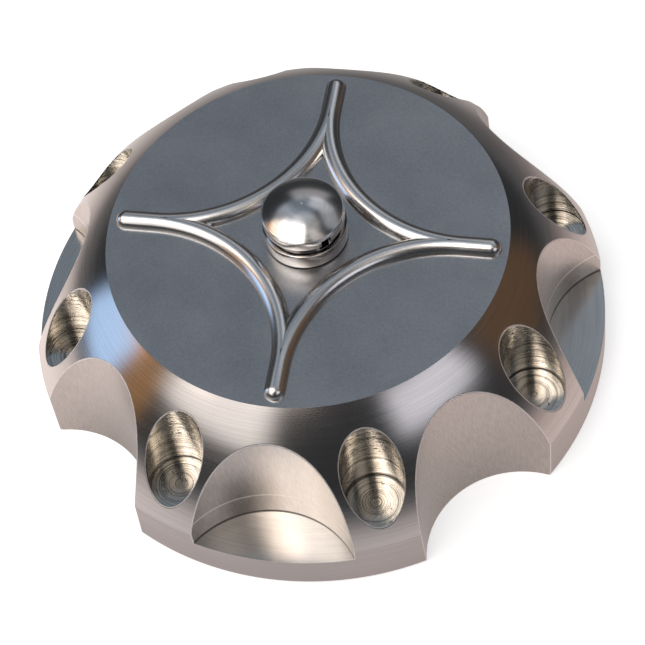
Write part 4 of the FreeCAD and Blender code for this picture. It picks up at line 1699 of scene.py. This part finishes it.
@dataclass
class Studio:
    """Camera, floor and surroundings.

    Attributes:
        azimuth: Camera's azimuth in degrees, 0 for straight along +Y.
        elevation: Camera's elevation in degrees.
        roll: Camera's roll in degrees.
        distance: Camera's distance from the origin along its view in metres.
        aside: Camera's place across its view in metres.
        above: Camera's place up its view in metres.
        focal_pixels: Focal length in pixels of the square picture.
        picture: Side of the picture in pixels.
        sensor: Side of the sensor in millimetres.
        near_floor: Light of the floor beside the cap at the front, left, right and back.
        floor_centre: Light of the floor under the cap.
        far_floor: Light of the floor further away.
        panels: Panels of light all round.
    """

    azimuth: float = 17.762
    elevation: float = 56.119
    roll: float = -10.096
    distance: float = 0.379676
    aside: float = -0.00029
    above: float = 0.001698
    focal_pixels: float = 2523.03
    picture: float = 645.0
    sensor: float = 36.0
    near_floor: tuple[Colour, Colour, Colour, Colour] = NEAR_FLOOR
    floor_centre: Colour = FLOOR_CENTRE
    far_floor: Colour = FAR_FLOOR
    panels: tuple[Panel, ...] = PANELS

    def build(self) -> None:
        """Set up everything that isn't part of the object."""
        self.camera()
        self.floor()
        self.world()
        bpy.context.scene.view_settings.view_transform = "Standard"

    def camera(self) -> None:
        """Put the camera where the photograph was taken from."""
        turn = math.radians(self.azimuth)
        rise = math.radians(self.elevation)
        roll = math.radians(self.roll)
        back = Vector((math.sin(turn) * math.cos(rise), -math.cos(turn) * math.cos(rise), math.sin(rise)))
        level = Vector((math.cos(turn), math.sin(turn), 0.0))
        upwards = back.cross(level)
        right = level * math.cos(roll) + upwards * math.sin(roll)
        top = upwards * math.cos(roll) - level * math.sin(roll)
        data = bpy.data.cameras.new("camera")
        data.sensor_width = self.sensor
        data.lens = self.focal_pixels * self.sensor / self.picture
        data.clip_start = 0.01
        data.clip_end = 20.0
        camera = bpy.data.objects.new("camera", data)
        bpy.context.collection.objects.link(camera)
        frame = Matrix((right, top, back)).transposed().to_4x4()
        frame.translation = back * self.distance + right * self.aside + top * self.above
        camera.matrix_world = frame
        bpy.context.scene.camera = camera

    def floor(self) -> None:
        """Add a wide pale floor that keeps a soft shadow and can be seen through from below."""
        Bench.clear_selection()
        place = (0.0, 0.0, -FLOOR_DEPTH * MM)
        bpy.ops.mesh.primitive_circle_add(
            vertices=FLOOR_SIDES, radius=FLOOR_RADIUS, fill_type="NGON", location=place)
        floor = Bench.named("studio_floor")
        material, bench = new_material("pale_floor")
        glow = self.sum_of_lights(bench, self.floor_zones(bench, CapCoordinates(bench)))
        mirrored = self.lit(bench, glow, 1.0, DIM_GREY)
        seen = self.lit(bench, WHITE, FLOOR_GLOW, SHADOW_GREY)
        both = self.by_ray(bench, mirrored, seen)
        below = bench.add("ShaderNodeNewGeometry").out("Backfacing")
        clear = bench.add("ShaderNodeBsdfTransparent").out(0)
        open_below = bench.add("ShaderNodeMixShader", None, {0: below, 1: both, 2: clear})
        bench.add("ShaderNodeOutputMaterial", None, {"Surface": open_below.out(0)})
        floor.data.materials.append(material)

    @staticmethod
    def lit(bench: ShaderBench, light: Wire | tuple, strength: float, grey: tuple) -> Wire:
        """Surface that glows and also takes light and shadow.

        Args:
            bench: Bench of the material.
            light: Colour of its glow.
            strength: Strength of its glow.
            grey: Colour of its diffuse share.

        Returns:
            The shader.
        """
        glow = bench.add("ShaderNodeEmission", None, {"Color": light, "Strength": strength})
        shade = bench.add("ShaderNodeBsdfDiffuse", None, {"Color": grey})
        return bench.add("ShaderNodeAddShader", None, {0: glow.out(0), 1: shade.out(0)}).out(0)

    @staticmethod
    def by_ray(bench: ShaderBench, mirrored: Wire, seen: Wire) -> Wire:
        """Shader that is one thing to the camera and another to all other rays."""
        rays = bench.add("ShaderNodeLightPath").out("Is Camera Ray")
        return bench.add("ShaderNodeMixShader", None, {0: rays, 1: mirrored, 2: seen}).out(0)

    def floor_zones(self, bench: ShaderBench, cap: CapCoordinates) -> list[tuple[Wire, Colour]]:
        """Masks and lights of the floor's zones.

        Args:
            bench: Bench of the floor's material.
            cap: Places on the floor in millimetres.

        Returns:
            One mask and light for each zone.
        """
        radius = cap.radius()
        under = 1.0 - bench.smooth(radius, *UNDER_RADII)
        beside = bench.smooth(radius, *BESIDE_FROM) * (1.0 - bench.smooth(radius, *BESIDE_TO))
        zones = [(under, self.floor_centre), (1.0 - under, self.far_floor)]
        sides = ((cap.y, -1.0), (cap.x, -1.0), (cap.x, 1.0), (cap.y, 1.0))
        for (place, sign), light in zip(sides, self.near_floor):
            share = ((place / radius) * sign).math("MAXIMUM", 0.0)
            zones.append((beside * share * share, light))
        return zones

    @staticmethod
    def sum_of_lights(bench: ShaderBench, parts: Iterable[tuple[Wire, Colour]]) -> Wire:
        """Add up lights, each times its mask.

        Args:
            bench: Bench to add nodes to.
            parts: Masks and lights.

        Returns:
            The sum as a colour.
        """
        total: Wire | Colour = (0.0, 0.0, 0.0)
        for mask, light in parts:
            inputs = {0: mask, 1: light, 2: total}
            total = bench.add("ShaderNodeVectorMath", {"operation": "MULTIPLY_ADD"}, inputs).out(0)
        return total

    def world(self) -> None:
        """White surroundings for the camera, panels in a dark studio for reflections."""
        world = bpy.data.worlds.new("studio")
        bpy.context.scene.world = world
        world.use_nodes = True
        bench = ShaderBench(world.node_tree)
        direction = bench.add("ShaderNodeTexCoord").out("Generated")
        parts = bench.add("ShaderNodeSeparateXYZ", None, {0: direction})
        height = parts.out(2)
        azimuth = parts.out(1).math("ARCTAN2", parts.out(0))
        masks = [(panel.mask(bench, azimuth, height), panel.light) for panel in self.panels]
        sky = self.sum_of_lights(bench, masks)
        studio, white = (
            bench.add("ShaderNodeBackground", None, {"Color": colour, "Strength": 1.0}).out(0)
            for colour in (sky, WHITE))
        bench.add("ShaderNodeOutputWorld", None, {"Surface": self.by_ray(bench, studio, white)})


def main() -> None:
    """Load the frame, build each sub-assembly and report it."""
    logging.basicConfig(level=logging.INFO, format="%(message)s")
    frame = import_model()
    Breather().dress(frame["nodes"])
    for coil in COILS:
        LOG.info("built %s with %d faces", coil.name, len(coil.build(frame["nodes"]).data.polygons))
    for maker in (BilletBody(), Star(), VentButton(), VentBush(), NeckThread()):
        made = maker.build()
        for piece in made if isinstance(made, list) else [made]:
            LOG.info("built %s with %d faces", piece.name, len(piece.data.polygons))
    Studio().build()


if __name__ == "__main__":
    main()
